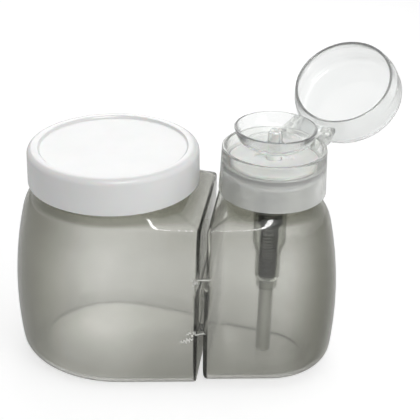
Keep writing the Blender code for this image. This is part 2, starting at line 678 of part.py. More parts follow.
def make_guide_plate():
    """Plate on the collar's deck, with the long tube that guides the stem and stops the piston."""
    bore = STEM_RADIUS + SLIDE_GAP
    tube = UPPER_BORE - SEAT_GAP
    radius = RING_BORE - PLATE_RIM_GAP
    profile = [
        (bore, PLATE_TOP), (radius - EDGE_BREAK, PLATE_TOP), (radius, PLATE_TOP - EDGE_BREAK),
        (radius, PLATE_BOTTOM), (tube, PLATE_BOTTOM), (tube, GUIDE_FOOT), (bore, GUIDE_FOOT),
    ]
    plate = turned("guide_plate", profile, PUMP_AXIS, PUMP_STEPS, MATERIALS["white"])
    for degrees in (90.0 - DIMPLE_ANGLE, 90.0 + DIMPLE_ANGLE):
        angle = math.radians(degrees)
        centre = (PUMP_AXIS[0] + DIMPLE_ORBIT * math.cos(angle), DIMPLE_ORBIT * math.sin(angle), PLATE_TOP)
        upright = Matrix.Translation(centre) @ Matrix.Rotation(math.radians(90), 4, "X")
        combine(plate, rod("dimple", DIMPLE_RADIUS, DIMPLE_DEPTH, upright, 12), "DIFFERENCE")
    finish(plate)


def make_pump_housing():
    upper = HOUSING_UPPER_RADIUS
    lower = LOWER_BORE + HOUSING_WALL
    socket = SOCKET_BORE + HOUSING_WALL
    flange = BOTTLE_NECK_RADIUS
    flange_top = FLANGE_BOTTOM + FLANGE_THICKNESS
    profile = [
        (upper, DECK_TOP), (upper, flange_top), (flange, flange_top), (flange, FLANGE_BOTTOM),
        (upper, FLANGE_BOTTOM), (upper, HOUSING_STEP_TOP), (lower, HOUSING_STEP_BOTTOM),
        (lower, HOUSING_FLOOR), (socket, SOCKET_TOP), (socket, HOUSING_FOOT), (SOCKET_BORE, HOUSING_FOOT),
        (SOCKET_BORE, SOCKET_TOP), (VALVE_HOLE_RADIUS, SOCKET_TOP), (VALVE_HOLE_RADIUS, HOUSING_FLOOR),
        (LOWER_BORE, HOUSING_FLOOR), (LOWER_BORE, HOUSING_STEP_BOTTOM), (UPPER_BORE, HOUSING_STEP_TOP),
        (UPPER_BORE, DECK_TOP),
    ]
    finish(turned("pump_housing", profile, PUMP_AXIS, PUMP_STEPS // 2 + 4, MATERIALS["frost"]))


def make_neck_gasket():
    inner = BOTTLE_NECK_RADIUS - GASKET_WIDTH
    top = GASKET_BOTTOM + GASKET_THICKNESS
    outer = BOTTLE_NECK_RADIUS
    profile = [(inner, top), (outer, top), (outer, GASKET_BOTTOM), (inner, GASKET_BOTTOM)]
    finish(turned("neck_gasket", profile, PUMP_AXIS, PUMP_STEPS // 2 + 4, MATERIALS["foam"]))


def make_dip_tube():
    bore = TUBE_RADIUS - TUBE_WALL
    profile = [(TUBE_RADIUS, TUBE_TOP), (TUBE_RADIUS, TUBE_FOOT), (bore, TUBE_FOOT), (bore, TUBE_TOP)]
    finish(turned("dip_tube", profile, PUMP_AXIS, SMALL_STEPS, MATERIALS["tube"]))


def make_ball_cage():
    bore = INLET_BALL_RADIUS + SLIDE_GAP
    foot = HOUSING_FLOOR + SEAT_GAP
    flange = LOWER_BORE - SEAT_GAP
    profile = [
        (VALVE_HOLE_RADIUS, CAGE_LEVEL), (CAGE_RADIUS, CAGE_LEVEL), (CAGE_RADIUS, foot + CAGE_FLANGE),
        (flange, foot + CAGE_FLANGE), (flange, foot), (bore, foot), (bore, CAGE_CEILING),
        (VALVE_HOLE_RADIUS, CAGE_CEILING),
    ]
    finish(turned("ball_cage", profile, PUMP_AXIS, SMALL_STEPS, MATERIALS["white"]))


def make_piston_seal():
    outer = UPPER_BORE - SLIDE_GAP
    top = PISTON_LEVEL + PISTON_HEIGHT
    floor = PISTON_LEVEL + PISTON_FLOOR
    socket = STEM_RADIUS + SEAT_GAP
    waist = outer - PISTON_WAIST
    cup = top - PISTON_CUP
    profile = [
        (outer - PISTON_LIP, top), (outer, top - PISTON_EDGE), (waist, floor + PISTON_EDGE),
        (outer, PISTON_LEVEL + PISTON_EDGE), (outer - PISTON_EDGE, PISTON_LEVEL),
        (VALVE_HOLE_RADIUS, PISTON_LEVEL), (VALVE_HOLE_RADIUS, floor), (socket, floor), (socket, cup),
        (waist - PISTON_LIP, cup),
    ]
    finish(turned("piston_seal", profile, PUMP_AXIS, SMALL_STEPS, MATERIALS["seal"]))


def make_pump_stem():
    spigot_top = HUB_TOP - HUB_TOP_THICKNESS - SEAT_GAP
    profile = [
        (SPIGOT_RADIUS, spigot_top), (SPIGOT_RADIUS, STEM_SHOULDER), (STEM_RADIUS, STEM_SHOULDER),
        (STEM_RADIUS, STEM_FOOT), (OUTLET_CHAMBER, STEM_FOOT), (OUTLET_CHAMBER, OUTLET_CEILING),
        (VALVE_HOLE_RADIUS, OUTLET_CEILING + BALL_SEAT_SLOPE), (VALVE_HOLE_RADIUS, spigot_top),
    ]
    finish(turned("pump_stem", profile, PUMP_AXIS, SMALL_STEPS, MATERIALS["white"]))


def make_pump_dish():
    socket = SPIGOT_RADIUS + SEAT_GAP
    ceiling = HUB_TOP - HUB_TOP_THICKNESS
    floor_top = DISH_BOTTOM + DISH_WALL
    lip = DISH_WALL / 2.0
    bend = DISH_BOTTOM + DISH_SIDE_LEVEL
    profile = [
        (DISH_RADIUS - lip, DISH_RIM), (DISH_RADIUS, DISH_RIM - lip), (DISH_SIDE_RADIUS, bend),
        (DISH_FLOOR_RADIUS, DISH_BOTTOM), (socket, DISH_BOTTOM), (socket, ceiling),
        (OUTLET_HOLE_RADIUS, ceiling), (OUTLET_HOLE_RADIUS, HUB_TOP), (HUB_RADIUS - EDGE_BREAK, HUB_TOP),
        (HUB_RADIUS, HUB_TOP - EDGE_BREAK), (HUB_RADIUS + HUB_FLARE, floor_top),
        (DISH_FLOOR_RADIUS, floor_top), (DISH_SIDE_RADIUS - DISH_WALL, bend + lip),
        (DISH_RADIUS - DISH_WALL, DISH_RIM - lip),
    ]
    finish(turned("pump_dish", profile, PUMP_AXIS, PUMP_STEPS, MATERIALS["clear"]))


def make_return_spring():
    """A round wire coil between the ball cage and the piston."""
    low = SPRING_BOTTOM + SPRING_WIRE / 2.0
    high = SPRING_TOP - SPRING_WIRE / 2.0
    open_rise = high - low - 2.0 * SPRING_END_RISE
    points = []
    for i in range(SPRING_TURNS * COIL_POINTS + 1):
        turn = i / COIL_POINTS
        if turn < 1.0:
            height = low + SPRING_END_RISE * turn
        elif turn > SPRING_TURNS - 1.0:
            height = high - SPRING_END_RISE * (SPRING_TURNS - turn)
        else:
            height = low + SPRING_END_RISE + open_rise * (turn - 1.0) / (SPRING_TURNS - 2.0)
        angle = 2.0 * math.pi * turn
        points.append(Vector((SPRING_RADIUS * math.cos(angle), SPRING_RADIUS * math.sin(angle), height)))
    half = COIL_POINTS // 2
    gaps = [(a - b).length - SPRING_WIRE for i, a in enumerate(points) for b in points[i + half:]]
    print("spring: least gap between turns", round(min(gaps) * 1000.0, 2), "mm")
    curve = bpy.data.curves.new("return_spring", "CURVE")
    curve.dimensions = "3D"
    curve.bevel_depth = SPRING_WIRE / 2.0
    curve.bevel_resolution = 1
    curve.use_fill_caps = True
    wire = curve.splines.new("POLY")
    wire.points.add(len(points) - 1)
    for slot, point in zip(wire.points, points):
        slot.co = (*point, 1.0)
    item = bpy.data.objects.new("return_spring", curve)
    PARTS.objects.link(item)
    item.location = (PUMP_AXIS[0], PUMP_AXIS[1], 0.0)
    curve.materials.append(MATERIALS["spring"])


def make_flip_cap():
    """The cap is drawn closed, about the pump's axis, and its hinge empty turns it open."""
    widest = CAP_RIM_RADIUS + CAP_FLARE
    level = CAP_RIM_LEVEL + CAP_FLARE_HEIGHT
    top = CAP_RIM_LEVEL + CAP_HEIGHT
    round_edge = CAP_HEIGHT - CAP_FLARE_HEIGHT
    outer = arc((widest - round_edge, level), round_edge, 90.0, 0.0, 5)
    inner = arc((widest - round_edge, level), round_edge - CAP_WALL, 0.0, 90.0, 4)
    bend = CAP_RIM_LEVEL + CAP_BEND_LEVEL
    bend_radius = CAP_RIM_RADIUS + CAP_BEND_FLARE
    profile = [(0.0, top)] + outer + [(bend_radius, bend), (CAP_RIM_RADIUS, CAP_RIM_LEVEL)]
    profile += [(CAP_RIM_RADIUS - CAP_WALL, CAP_RIM_LEVEL), (bend_radius - CAP_WALL, bend)]
    profile += inner + [(0.0, top - CAP_WALL)]
    cap = turned("flip_cap", profile, (0.0, 0.0), PUMP_STEPS, MATERIALS["clear"])

    hinge = bpy.data.objects.new("flip_cap_hinge", None)
    PARTS.objects.link(hinge)
    hinge.location = (HINGE_X, HINGE_Y, HINGE_LEVEL)
    hinge.rotation_euler = (0.0, math.radians(CAP_OPENING), HINGE_YAW)

    cap.parent = hinge
    cap.location = (-HINGE_REACH, 0.0, -HINGE_LEVEL)

    end = (CAP_RIM_RADIUS + CAP_BEND_FLARE - HINGE_REACH, CAP_RIM_LEVEL - HINGE_LEVEL + TONGUE_END_RISE)
    tongue_outline = hull_outline((0.0, 0.0), KNUCKLE_RADIUS, end, TONGUE_END_RADIUS)
    frame = Matrix.Identity(4)
    pieces = [
        extruded("cap_tongue", tongue_outline, TONGUE_HALF_WIDTH, 0.0, frame),
        rod("cap_pivots", PIVOT_RADIUS, EAR_INNER + EAR_THICKNESS - SLIDE_GAP, frame),
    ]
    for piece in pieces:
        piece.parent = hinge
        combine(cap, piece, "UNION")
    finish(cap)


def hull_outline(first, first_radius, second, second_radius):
    """Outline of a belt around two circles, anticlockwise."""
    gap = Vector(second) - Vector(first)
    heading = math.degrees(math.atan2(gap.y, gap.x))
    spread = math.degrees(math.acos((first_radius - second_radius) / gap.length))
    points = arc(first, first_radius, heading + spread, heading + 360.0 - spread, 10)
    points += arc(second, second_radius, heading - spread, heading + spread, 6)
    return points


def make_materials():
    return {
        "smoke": make_material("smoke_petg", (0.52, 0.52, 0.48), 0.30, alpha=0.75, transmission=0.5),
        "white": make_material("white_pp", (0.90, 0.91, 0.90), 0.30),
        "frost": make_material("frosted_pp", (0.80, 0.82, 0.80), 0.45, alpha=0.75, transmission=0.4),
        "clear": make_material("clear_pp", (0.88, 0.90, 0.89), 0.15, alpha=0.45, transmission=0.8),
        "foam": make_material("foam_white", (0.85, 0.85, 0.83), 0.90),
        "tube": make_material("natural_pe", (0.80, 0.82, 0.80), 0.40, alpha=0.80),
        "seal": make_material("natural_ldpe", (0.78, 0.80, 0.78), 0.45),
        "spring": make_material("spring_steel", (0.45, 0.45, 0.43), 0.35, metallic=1.0),
        "glass": make_material("valve_glass", (0.75, 0.80, 0.78), 0.05, alpha=0.60),
    }


clear_scene()
PARTS = make_collection("twin_pump_container")
CUTTERS = make_collection("cutters")
MATERIALS = make_materials()

make_jar_body()
make_bottle_body()
make_jar_lid()
make_lid_liner()
make_pump_collar()
make_guide_plate()
make_pump_housing()
make_neck_gasket()
make_dip_tube()
make_ball_cage()
ball("inlet_ball", INLET_BALL_RADIUS, PUMP_AXIS, INLET_BALL_LEVEL, MATERIALS["glass"])
make_piston_seal()
make_pump_stem()
ball("outlet_ball", OUTLET_BALL_RADIUS, PUMP_AXIS, OUTLET_BALL_LEVEL, MATERIALS["glass"])
make_return_spring()
make_pump_dish()
make_flip_cap()
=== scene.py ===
"""Dressed model of the twin toiletry container with a pump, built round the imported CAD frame."""

import math

import bmesh
import bpy
from mathutils import Matrix, Vector, noise


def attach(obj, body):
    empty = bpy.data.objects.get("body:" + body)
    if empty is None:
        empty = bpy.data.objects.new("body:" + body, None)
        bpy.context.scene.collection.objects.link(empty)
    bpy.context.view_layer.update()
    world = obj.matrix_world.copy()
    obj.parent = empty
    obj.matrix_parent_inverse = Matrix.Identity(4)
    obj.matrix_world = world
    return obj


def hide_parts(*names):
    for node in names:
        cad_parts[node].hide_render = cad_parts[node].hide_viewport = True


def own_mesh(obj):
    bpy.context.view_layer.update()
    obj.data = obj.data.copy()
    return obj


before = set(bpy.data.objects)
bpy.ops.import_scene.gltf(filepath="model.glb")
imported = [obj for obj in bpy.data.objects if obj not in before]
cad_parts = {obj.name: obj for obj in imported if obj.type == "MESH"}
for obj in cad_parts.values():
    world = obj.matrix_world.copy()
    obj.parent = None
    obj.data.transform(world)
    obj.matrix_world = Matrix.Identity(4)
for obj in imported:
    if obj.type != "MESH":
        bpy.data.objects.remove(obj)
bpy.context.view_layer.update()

# Clearances and container, in metres, as the CAD model has them
SEAT_GAP = 0.0003
SLIDE_GAP = 0.0003
AXIS_SPACING = 0.0580
VESSEL_WALL = 0.0013
BELLY_HEIGHT = 0.024
SHOULDER_HEIGHT = 0.066
SHOULDER_ROUND = 0.0012
SHOULDER_SOFT_ROUND = 0.0050
SHARP_RUN = 0.0200
SOFT_RUN = 0.0310
SLOT_CENTRE = 0.0364
SLOT_WIDTH = 0.0022
SLOT_FOOT_ROUND = 0.0016
WEB_BOTTOM = 0.0277
WEB_TOP = 0.0445
WEB_RECESS = 0.00015         # web's face behind the front of the vessels
WEB_REACH = 0.0036           # web's cover over the corners beside the slot
MOUTH_ROUND = 0.0031         # flare of the upper slot's mouth, at the web
SHOULDER_MOUTH_ROUND = 0.0010
MOUTH_LEVEL = 0.050          # the flare is full from here down
FOOT_MOUTH_LEVELS = (0.027, 0.040)    # the foot's flare turns into the upper one between these
FOOT_MOUTH_ROUND = 0.0010    # flare of the lower slot's mouth
NECK_ROOT_ROUND = 0.0006
NECK_LIP_ROUND = 0.0005
PUSH_UP = 0.0007             # hollow under the base
PUSH_UP_RUN = 0.0022

JAR = {
    "axis": 0.0,
    "outward": -1.0,
    "slot_wall": SLOT_CENTRE - SLOT_WIDTH / 2.0,
    "belly": (0.0388, 0.0339),
    "shoulder": (0.0330, 0.0296),
    "foot": (0.0370, 0.0320),
    "base_round": 0.0065,
    "neck": 0.0278,
    "neck_base": 0.0706,
    "neck_top": 0.0821,
}
BOTTLE = {
    "axis": AXIS_SPACING,
    "outward": 1.0,
    "slot_wall": AXIS_SPACING - SLOT_CENTRE - SLOT_WIDTH / 2.0,
    "belly": (0.0267, 0.0247),
    "shoulder": (0.0210, 0.0197),
    "foot": (0.0252, 0.0224),
    "base_round": 0.0090,
    "neck": 0.0158,
    "neck_base": 0.0698,
    "neck_top": 0.0789,
}
JAR_THREAD = {"depth": 0.0014, "pitch": 0.0040, "turns": 1.1, "start": 0.0755}
BOTTLE_THREAD = {"depth": 0.0010, "pitch": 0.0030, "turns": 1.0, "start": 0.0750}
THREAD_SUNK = 0.0004

LID_BORE = 0.0296
LID_WALL = 0.0018
LID_RADIUS = LID_BORE + LID_WALL
LID_DRAFT = 0.0004
LINER_BOTTOM = 0.0824
LINER_THICKNESS = 0.0010
LID_UNDERSIDE = 0.0837
LID_PANEL_TOP = 0.0850
LID_RIM_TOP = 0.0858
LID_RIM_WIDTH = 0.0039
LID_SKIRT_DEPTH = 0.0108
LID_RECESS_RUN = 0.0006
LID_RECESS_ROUND = 0.0008
LID_EDGE_ROUND = 0.0022
LID_THREAD_DEPTH = 0.0011
LID_THREAD_BELOW = 0.0015

COLLAR_BORE = 0.0177
COLLAR_RADIUS = 0.0194
COLLAR_FOOT = 0.0726
COLLAR_THREAD_DEPTH = 0.0005
COLLAR_THREAD_BELOW = 0.0015
GASKET_BOTTOM = 0.0792
GASKET_TOP = 0.0802
GASKET_WIDTH = 0.0056
FLANGE_BOTTOM = 0.0805
FLANGE_TOP = 0.0817
DECK_BOTTOM = 0.0820
DECK_TOP = 0.0835
RIM_LEVEL = 0.0896
RIM_RADIUS = 0.0186
RING_BORE = 0.0172
RING_DRAFT = 0.0002
PLATE_BOTTOM = 0.0838
PLATE_TOP = 0.0850
PLATE_RADIUS = RING_BORE - 0.0012
DIMPLE_RADIUS = 0.0020
DIMPLE_DEPTH = 0.0007
DIMPLE_ORBIT = 0.0052
DIMPLE_ANGLE = 83.0

HOUSING_UPPER = 0.0062
HOUSING_WALL = 0.0010
UPPER_BORE = HOUSING_UPPER - HOUSING_WALL
LOWER_BORE = 0.0037
HOUSING_STEP_TOP = 0.0519
HOUSING_STEP_BOTTOM = 0.0459
HOUSING_FLOOR = 0.0365
SOCKET_TOP = 0.0353
SOCKET_BORE = 0.0030
HOUSING_FOOT = 0.0318
FLANGE_ROUND = 0.0006
HOUSING_STEP_ROUND = 0.0010
BORE_STEP_ROUND = 0.0008
TUBE_RADIUS = 0.0027
TUBE_WALL = 0.0009
TUBE_FOOT = 0.0025
TUBE_TOP = 0.0350
INLET_BALL = (0.0015, 0.0383)
OUTLET_BALL = (0.0012, 0.0624)
VALVE_HOLE = 0.0008
CAGE_RADIUS = 0.0024
CAGE_CEILING = 0.0411
CAGE_LEVEL = 0.0421
CAGE_FLANGE = 0.0008
STEM_RADIUS = 0.0025
STEM_FOOT = 0.0612
STEM_SHOULDER = 0.0898
OUTLET_CHAMBER = 0.0015
OUTLET_CEILING = 0.0649
SPIGOT_RADIUS = 0.0014
PISTON_LEVEL = 0.0592
PISTON_FLOOR = 0.0609
PISTON_TOP = 0.0634
PISTON_WAIST = 0.0005
PISTON_WAIST_RISE = 0.0006
PISTON_LIP = 0.0007
PISTON_CUP_DEPTH = 0.0008
OUTLET_CONE = 0.0004
GUIDE_FOOT = 0.0637
SPRING_BOTTOM = 0.0379
SPRING_TOP = 0.0589
SPRING_RADIUS = 0.00305
SPRING_WIRE = 0.0008
SPRING_TURNS = 16
SPRING_END_RISE = 0.0011

DISH_RADIUS = 0.0147
DISH_WALL = 0.0009
DISH_BOTTOM = 0.0901
DISH_RIM = 0.0970
DISH_FLOOR_RADIUS = 0.0100
DISH_SIDE_LEVEL = DISH_BOTTOM + 0.0025
DISH_SIDE_RADIUS = 0.0132
DISH_SIDE_ROUNDS = (0.0030, 0.0028)      # outside and inside
DISH_FLOOR_ROUNDS = (0.0020, 0.0018)
HUB_TOP = 0.0956
HUB_RADIUS = 0.0024
HUB_FLARE = 0.0003
HUB_CEILING = HUB_TOP - 0.0007
OUTLET_HOLE = 0.0006

CAP_WALL = 0.0011
CAP_RIM_LEVEL = 0.0899
CAP_RIM_RADIUS = 0.0190
CAP_FLARE = 0.0026
CAP_FLARE_HEIGHT = 0.0105
CAP_HEIGHT = 0.0145
CAP_BEND_LEVEL = 0.0047
CAP_BEND_FLARE = 0.0016
CAP_BEND_ROUND = 0.0060
HINGE_REACH = 0.0268
HINGE_YAW = math.radians(62.7)
HINGE_LEVEL = 0.0859
CAP_OPENING = math.radians(142.0)
KNUCKLE_RADIUS = 0.0033
TONGUE_HALF_WIDTH = 0.0050
TONGUE_END_RADIUS = 0.0016
TONGUE_END_RISE = 0.0034
EAR_INNER = TONGUE_HALF_WIDTH + SLIDE_GAP
EAR_THICKNESS = 0.0026
PIVOT_RADIUS = 0.0012

JAR_AXIS = (0.0, 0.0)
PUMP_AXIS = (AXIS_SPACING, 0.0)

# Roundings of small edges
HAIR = 0.0001
FINE = 0.0002
EDGE = 0.0003
SOFT = 0.0004
BLUNT = 0.0005

# Facets
LARGE_STEPS = 160
MEDIUM_STEPS = 128
SMALL_STEPS = 48
CORNER_STEPS = 6
ARC_STEPS = 30               # each half of a vessel's round end
WALL_STEPS = 10              # each half of its flat slot wall
FRONT_STEPS = 8
TINY = 1.0e-6
CUT_PAST = 1.0e-5            # a hollow's top ring above the neck that it opens
LEAST_ROUND = 0.0004
LEAST_CORNER = 0.0005
SIDE_TOP = SHOULDER_HEIGHT - 1.1 * SHOULDER_SOFT_ROUND
SIDE_STEPS = 28

# Camera, solved from the photograph
FOCAL_LENGTH = 77.14         # millimetres on a 36 mm sensor
EYE = (0.06926, -0.29137, 0.21847)
TARGET = (0.035637, 0.0, 0.06197)
ROLL = math.radians(1.476)

LYING = Matrix.Rotation(math.radians(90), 4, "X")    # lays an upright piece along Y


# Mesh tools


def add_object(name, data):
    item = bpy.data.objects.new(name, data)
    bpy.context.scene.collection.objects.link(item)
    return item


def smooth(item, degrees=38.0):
    item.data.shade_smooth()
    item.data.set_sharp_from_angle(angle=math.radians(degrees))


def piece_from(name, shape):
    bmesh.ops.recalc_face_normals(shape, faces=shape.faces)
    mesh = bpy.data.meshes.new(name)
    shape.to_mesh(mesh)
    shape.free()
    return add_object(name, mesh)


def skin(shape, loops, backward=False):
    """Faces between neighbouring loops and over both ends. Backward lists their corners the other way."""
    for a, b in zip(loops, loops[1:]):
        for i in range(len(a)):
            j = (i + 1) % len(a)
            shape.faces.new((a[i], b[i], b[j], a[j]) if backward else (a[i], a[j], b[j], b[i]))
    for end in (loops[0], loops[-1][::-1]) if backward else (loops[0][::-1], loops[-1]):
        shape.faces.new(end)


def beside(axis, radius, angle, height):
    """A place beside an upright axis."""
    return (axis[0] + radius * math.cos(angle), axis[1] + radius * math.sin(angle), height)


def bent(first, corner, last, share):
    """A place on the curve that sets off for a corner and turns there to the last point."""
    return first.lerp(corner, share).lerp(corner.lerp(last, share), share)


def rounded(corners, closed=True, steps=CORNER_STEPS):
    """Turns corners of (radius, height, rounding) into a profile with an arc at each corner."""
    points = []
    count = len(corners)
    for i, (radius, height, rounding) in enumerate(corners):
        here = Vector((radius, height))
        if rounding <= 0.0 or (not closed and i in (0, count - 1)):
            points.append((radius, height))
            continue
        before = Vector(corners[i - 1][:2]) - here
        after = Vector(corners[(i + 1) % count][:2]) - here
        half = before.angle(after) / 2.0
        reach = min(rounding / math.tan(half), before.length * 0.49, after.length * 0.49)
        size = reach * math.tan(half)
        before.normalize()
        after.normalize()
        centre = here + (before + after).normalized() * size / math.sin(half)
        first = here + before * reach - centre
        last = here + after * reach - centre
        start = math.atan2(first.y, first.x)
        sweep = (math.atan2(last.y, last.x) - start + math.pi) % (2.0 * math.pi) - math.pi
        for k in range(steps + 1):
            angle = start + sweep * k / steps
            points.append((centre.x + size * math.cos(angle), centre.y + size * math.sin(angle)))
    return points


def lathe(name, profile, axis, steps):
    """Turns a profile about an upright axis. It closes on itself unless both its ends are on the axis."""
    shape = bmesh.new()
    rings = []
    for radius, height in profile:
        if radius < TINY:
            rings.append([shape.verts.new((axis[0], axis[1], height))])
            continue
        places = [beside(axis, radius, 2.0 * math.pi * i / steps, height) for i in range(steps)]
        rings.append([shape.verts.new(place) for place in places])
    pairs = list(zip(rings, rings[1:]))
    if len(rings[0]) > 1 or len(rings[-1]) > 1:
        pairs.append((rings[-1], rings[0]))
    for upper, lower in pairs:
        for i in range(steps):
            j = (i + 1) % steps
            if len(upper) == 1:
                shape.faces.new((upper[0], lower[i], lower[j]))
            elif len(lower) == 1:
                shape.faces.new((upper[i], lower[0], upper[j]))
            else:
                shape.faces.new((upper[i], lower[i], lower[j], upper[j]))
    return piece_from(name, shape)


def combine(item, others, operation="UNION"):
    """Adds or cuts the other pieces, which are then removed."""
    for other in others:
        boolean = item.modifiers.new("join", "BOOLEAN")
        boolean.operation = operation
        boolean.solver = "EXACT"
        boolean.object = other
    bpy.context.view_layer.update()
    graph = bpy.context.evaluated_depsgraph_get()
    mesh = bpy.data.meshes.new_from_object(item.evaluated_get(graph), depsgraph=graph)
    item.modifiers.clear()
    item.data = mesh
    for other in others:
        bpy.data.objects.remove(other, do_unlink=True)


def thread_ridge(axis, root, crest, thread, drop=0.0):
    """A helical ridge with a rounded crest that fades at both ends."""
    shape = bmesh.new()
    sunk = THREAD_SUNK if crest > root else -THREAD_SUNK
    count = round(MEDIUM_STEPS * thread["turns"])
    fade = MEDIUM_STEPS / 9.0
    sections = []
    for i in range(count + 1):
        angle = 2.0 * math.pi * i / MEDIUM_STEPS
        level = thread["start"] - drop + thread["pitch"] * i / MEDIUM_STEPS
        share = min(1.0, (i + 0.6) / fade, (count - i + 0.6) / fade)
        height = (crest - root) * math.sin(share * math.pi / 2.0)
        upper = [(root - sunk, 0.20), (root, 0.19), (root + height * 0.8, 0.12), (root + height, 0.06)]
        section = [(radius, -rise) for radius, rise in upper] + upper[::-1]
        places = [beside(axis, radius, angle, level + rise * thread["pitch"]) for radius, rise in section]
        sections.append([shape.verts.new(place) for place in places])
    skin(shape, sections, backward=True)
    return piece_from("ridge", shape)


def bar(outline, half_width, middle, matrix, round_edge=0.0):
    """A flat outline of (outward, up) points, given a width along the hinge's axis and rounded edges."""
    shape = bmesh.new()
    near = [shape.verts.new((u, middle - half_width, z)) for u, z in outline]
    far = [shape.verts.new((u, middle + half_width, z)) for u, z in outline]
    caps = [shape.faces.new(near), shape.faces.new(far[::-1])]
    for i in range(len(near)):
        j = (i + 1) % len(near)
        shape.faces.new((near[j], near[i], far[i], far[j]))
    bmesh.ops.recalc_face_normals(shape, faces=shape.faces)
    if round_edge > 0.0:
        rims = list({edge for cap in caps for edge in cap.edges})
        bmesh.ops.bevel(shape, geom=rims, offset=round_edge, segments=3, profile=0.5, affect="EDGES")
    shape.transform(matrix)
    return piece_from("bar", shape)


def rod(radius, half_length, matrix, steps=32):
    shape = bmesh.new()
    bmesh.ops.create_cone(shape, cap_ends=True, segments=steps, radius1=radius, radius2=radius,
                          depth=2.0 * half_length)
    shape.transform(matrix @ LYING)
    return piece_from("rod", shape)


def arc_points(centre, radius, start, end, steps):
    points = []
    for i in range(steps + 1):
        angle = math.radians(start + (end - start) * i / steps)
        points.append((centre[0] + radius * math.cos(angle), centre[1] + radius * math.sin(angle)))
    return points


def dress(item, node_names, body, material):
    """Puts a piece in the place of CAD nodes, with its own material."""
    smooth(item)
    item.data.materials.clear()
    item.data.materials.append(material)
    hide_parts(*node_names)
    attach(item, body)


# Vessels


def eased(value, start, end):
    """0 to 1 between two values, eased at both ends."""
    share = min(1.0, max(0.0, (value - start) / (end - start)))
    return share * share * (3.0 - 2.0 * share)


def level_size(height, vessel):
    """Reach and half depth of a vessel at a level of its barrel-shaped side."""
    if height >= BELLY_HEIGHT:
        other = vessel["shoulder"]
        share = (height - BELLY_HEIGHT) / (SHOULDER_HEIGHT - BELLY_HEIGHT)
    else:
        other = vessel["foot"]
        share = (BELLY_HEIGHT - height) / BELLY_HEIGHT
    return tuple(a + (b - a) * share ** 2 for a, b in zip(vessel["belly"], other))


def front_slope(height):
    """Slope of the flat front that touches the round end of both vessels."""
    jar_reach, jar_depth = level_size(height, JAR)
    bottle_reach, bottle_depth = level_size(height, BOTTLE)
    slope = 0.0
    for _ in range(30):
        jar_side = math.hypot(jar_depth, slope * jar_reach)
        slope = (jar_side - math.hypot(bottle_depth, slope * bottle_reach)) / AXIS_SPACING
    return slope


def corner_round(height):
    """Rounding of the upright corners beside the slot, widest where the web meets the upper slot."""
    near_web = eased(height, SHOULDER_HEIGHT, MOUTH_LEVEL)
    upper = SHOULDER_MOUTH_ROUND + (MOUTH_ROUND - SHOULDER_MOUTH_ROUND) * near_web
    return FOOT_MOUTH_ROUND + (upper - FOOT_MOUTH_ROUND) * eased(height, *FOOT_MOUTH_LEVELS)


def outline(vessel, height, inset, slot_inset, shrink):
    """Closed outline of a vessel at a level, in (outward, sideways) points from its axis."""
    slope = front_slope(height) * -vessel["outward"]
    corner = max(corner_round(height) - shrink, LEAST_CORNER)
    reach, depth = (size - inset for size in level_size(height, vessel))
    wall = vessel["slot_wall"] - slot_inset
    side = math.hypot(depth, slope * reach)
    centre = (-wall + corner, side + slope * (-wall + corner) - corner * math.hypot(1.0, slope))
    half = [(-wall, centre[1] * i / WALL_STEPS) for i in range(WALL_STEPS)]
    half += arc_points(centre, corner, 180.0, 90.0 + math.degrees(math.atan(slope)), CORNER_STEPS)
    start = Vector(half[-1])
    touch = Vector((-slope * reach ** 2 / side, depth ** 2 / side))
    half += [tuple(start.lerp(touch, i / FRONT_STEPS)) for i in range(1, FRONT_STEPS)]
    first = math.atan2(touch.y / depth, touch.x / reach)
    for i in range(ARC_STEPS + 1):
        angle = first * (1.0 - i / ARC_STEPS)
        half.append((reach * math.cos(angle), depth * math.sin(angle)))
    mirrored = [(u, -v) for u, v in half[1:-1]]
    return mirrored + [half[-1]] + half[-2:0:-1] + [half[0]]


def shoulder_round(outward, slot_wall):
    """Rounding of the shoulder's edge: sharp beside the slot, growing softer towards the round end."""
    share = eased(outward, SHARP_RUN - slot_wall, SOFT_RUN - slot_wall)
    return SHOULDER_ROUND + (SHOULDER_SOFT_ROUND - SHOULDER_ROUND) * share


def shoulder_rings(vessel, inset):
    """Rings from the top of the side, over the shoulder's edge, to the foot of the neck."""
    foot_radius = vessel["neck"] + NECK_ROOT_ROUND
    rise = vessel["neck_base"] - SHOULDER_HEIGHT
    lows = outline(vessel, SIDE_TOP, inset, inset, inset)
    corners = outline(vessel, SHOULDER_HEIGHT, inset, inset, inset)
    outer = outline(vessel, SHOULDER_HEIGHT, 0.0, 0.0, 0.0)
    paths = []
    for low, corner, point in zip(lows, corners, outer):
        heading = Vector(point).normalized()
        tilt = math.atan2(Vector(point).length - foot_radius, rise)
        low = Vector((*low, SIDE_TOP))
        corner = Vector((*corner, SHOULDER_HEIGHT - inset * math.tan(tilt / 2.0)))
        reach = foot_radius - inset * math.cos(tilt)
        foot = Vector((*(heading * reach), vessel["neck_base"] - inset * math.sin(tilt)))
        size = max(shoulder_round(point[0], vessel["slot_wall"]) - inset, LEAST_ROUND)
        first = corner.lerp(low, min(0.95, size / (low - corner).length))
        last = corner.lerp(foot, min(0.5, size / (foot - corner).length))
        path = [low] + [bent(first, corner, last, k / 8.0) for k in range(9)]
        path += [last.lerp(foot, k / 5.0) for k in range(1, 6)]
        paths.append(path)
    return [list(ring) for ring in zip(*paths)]


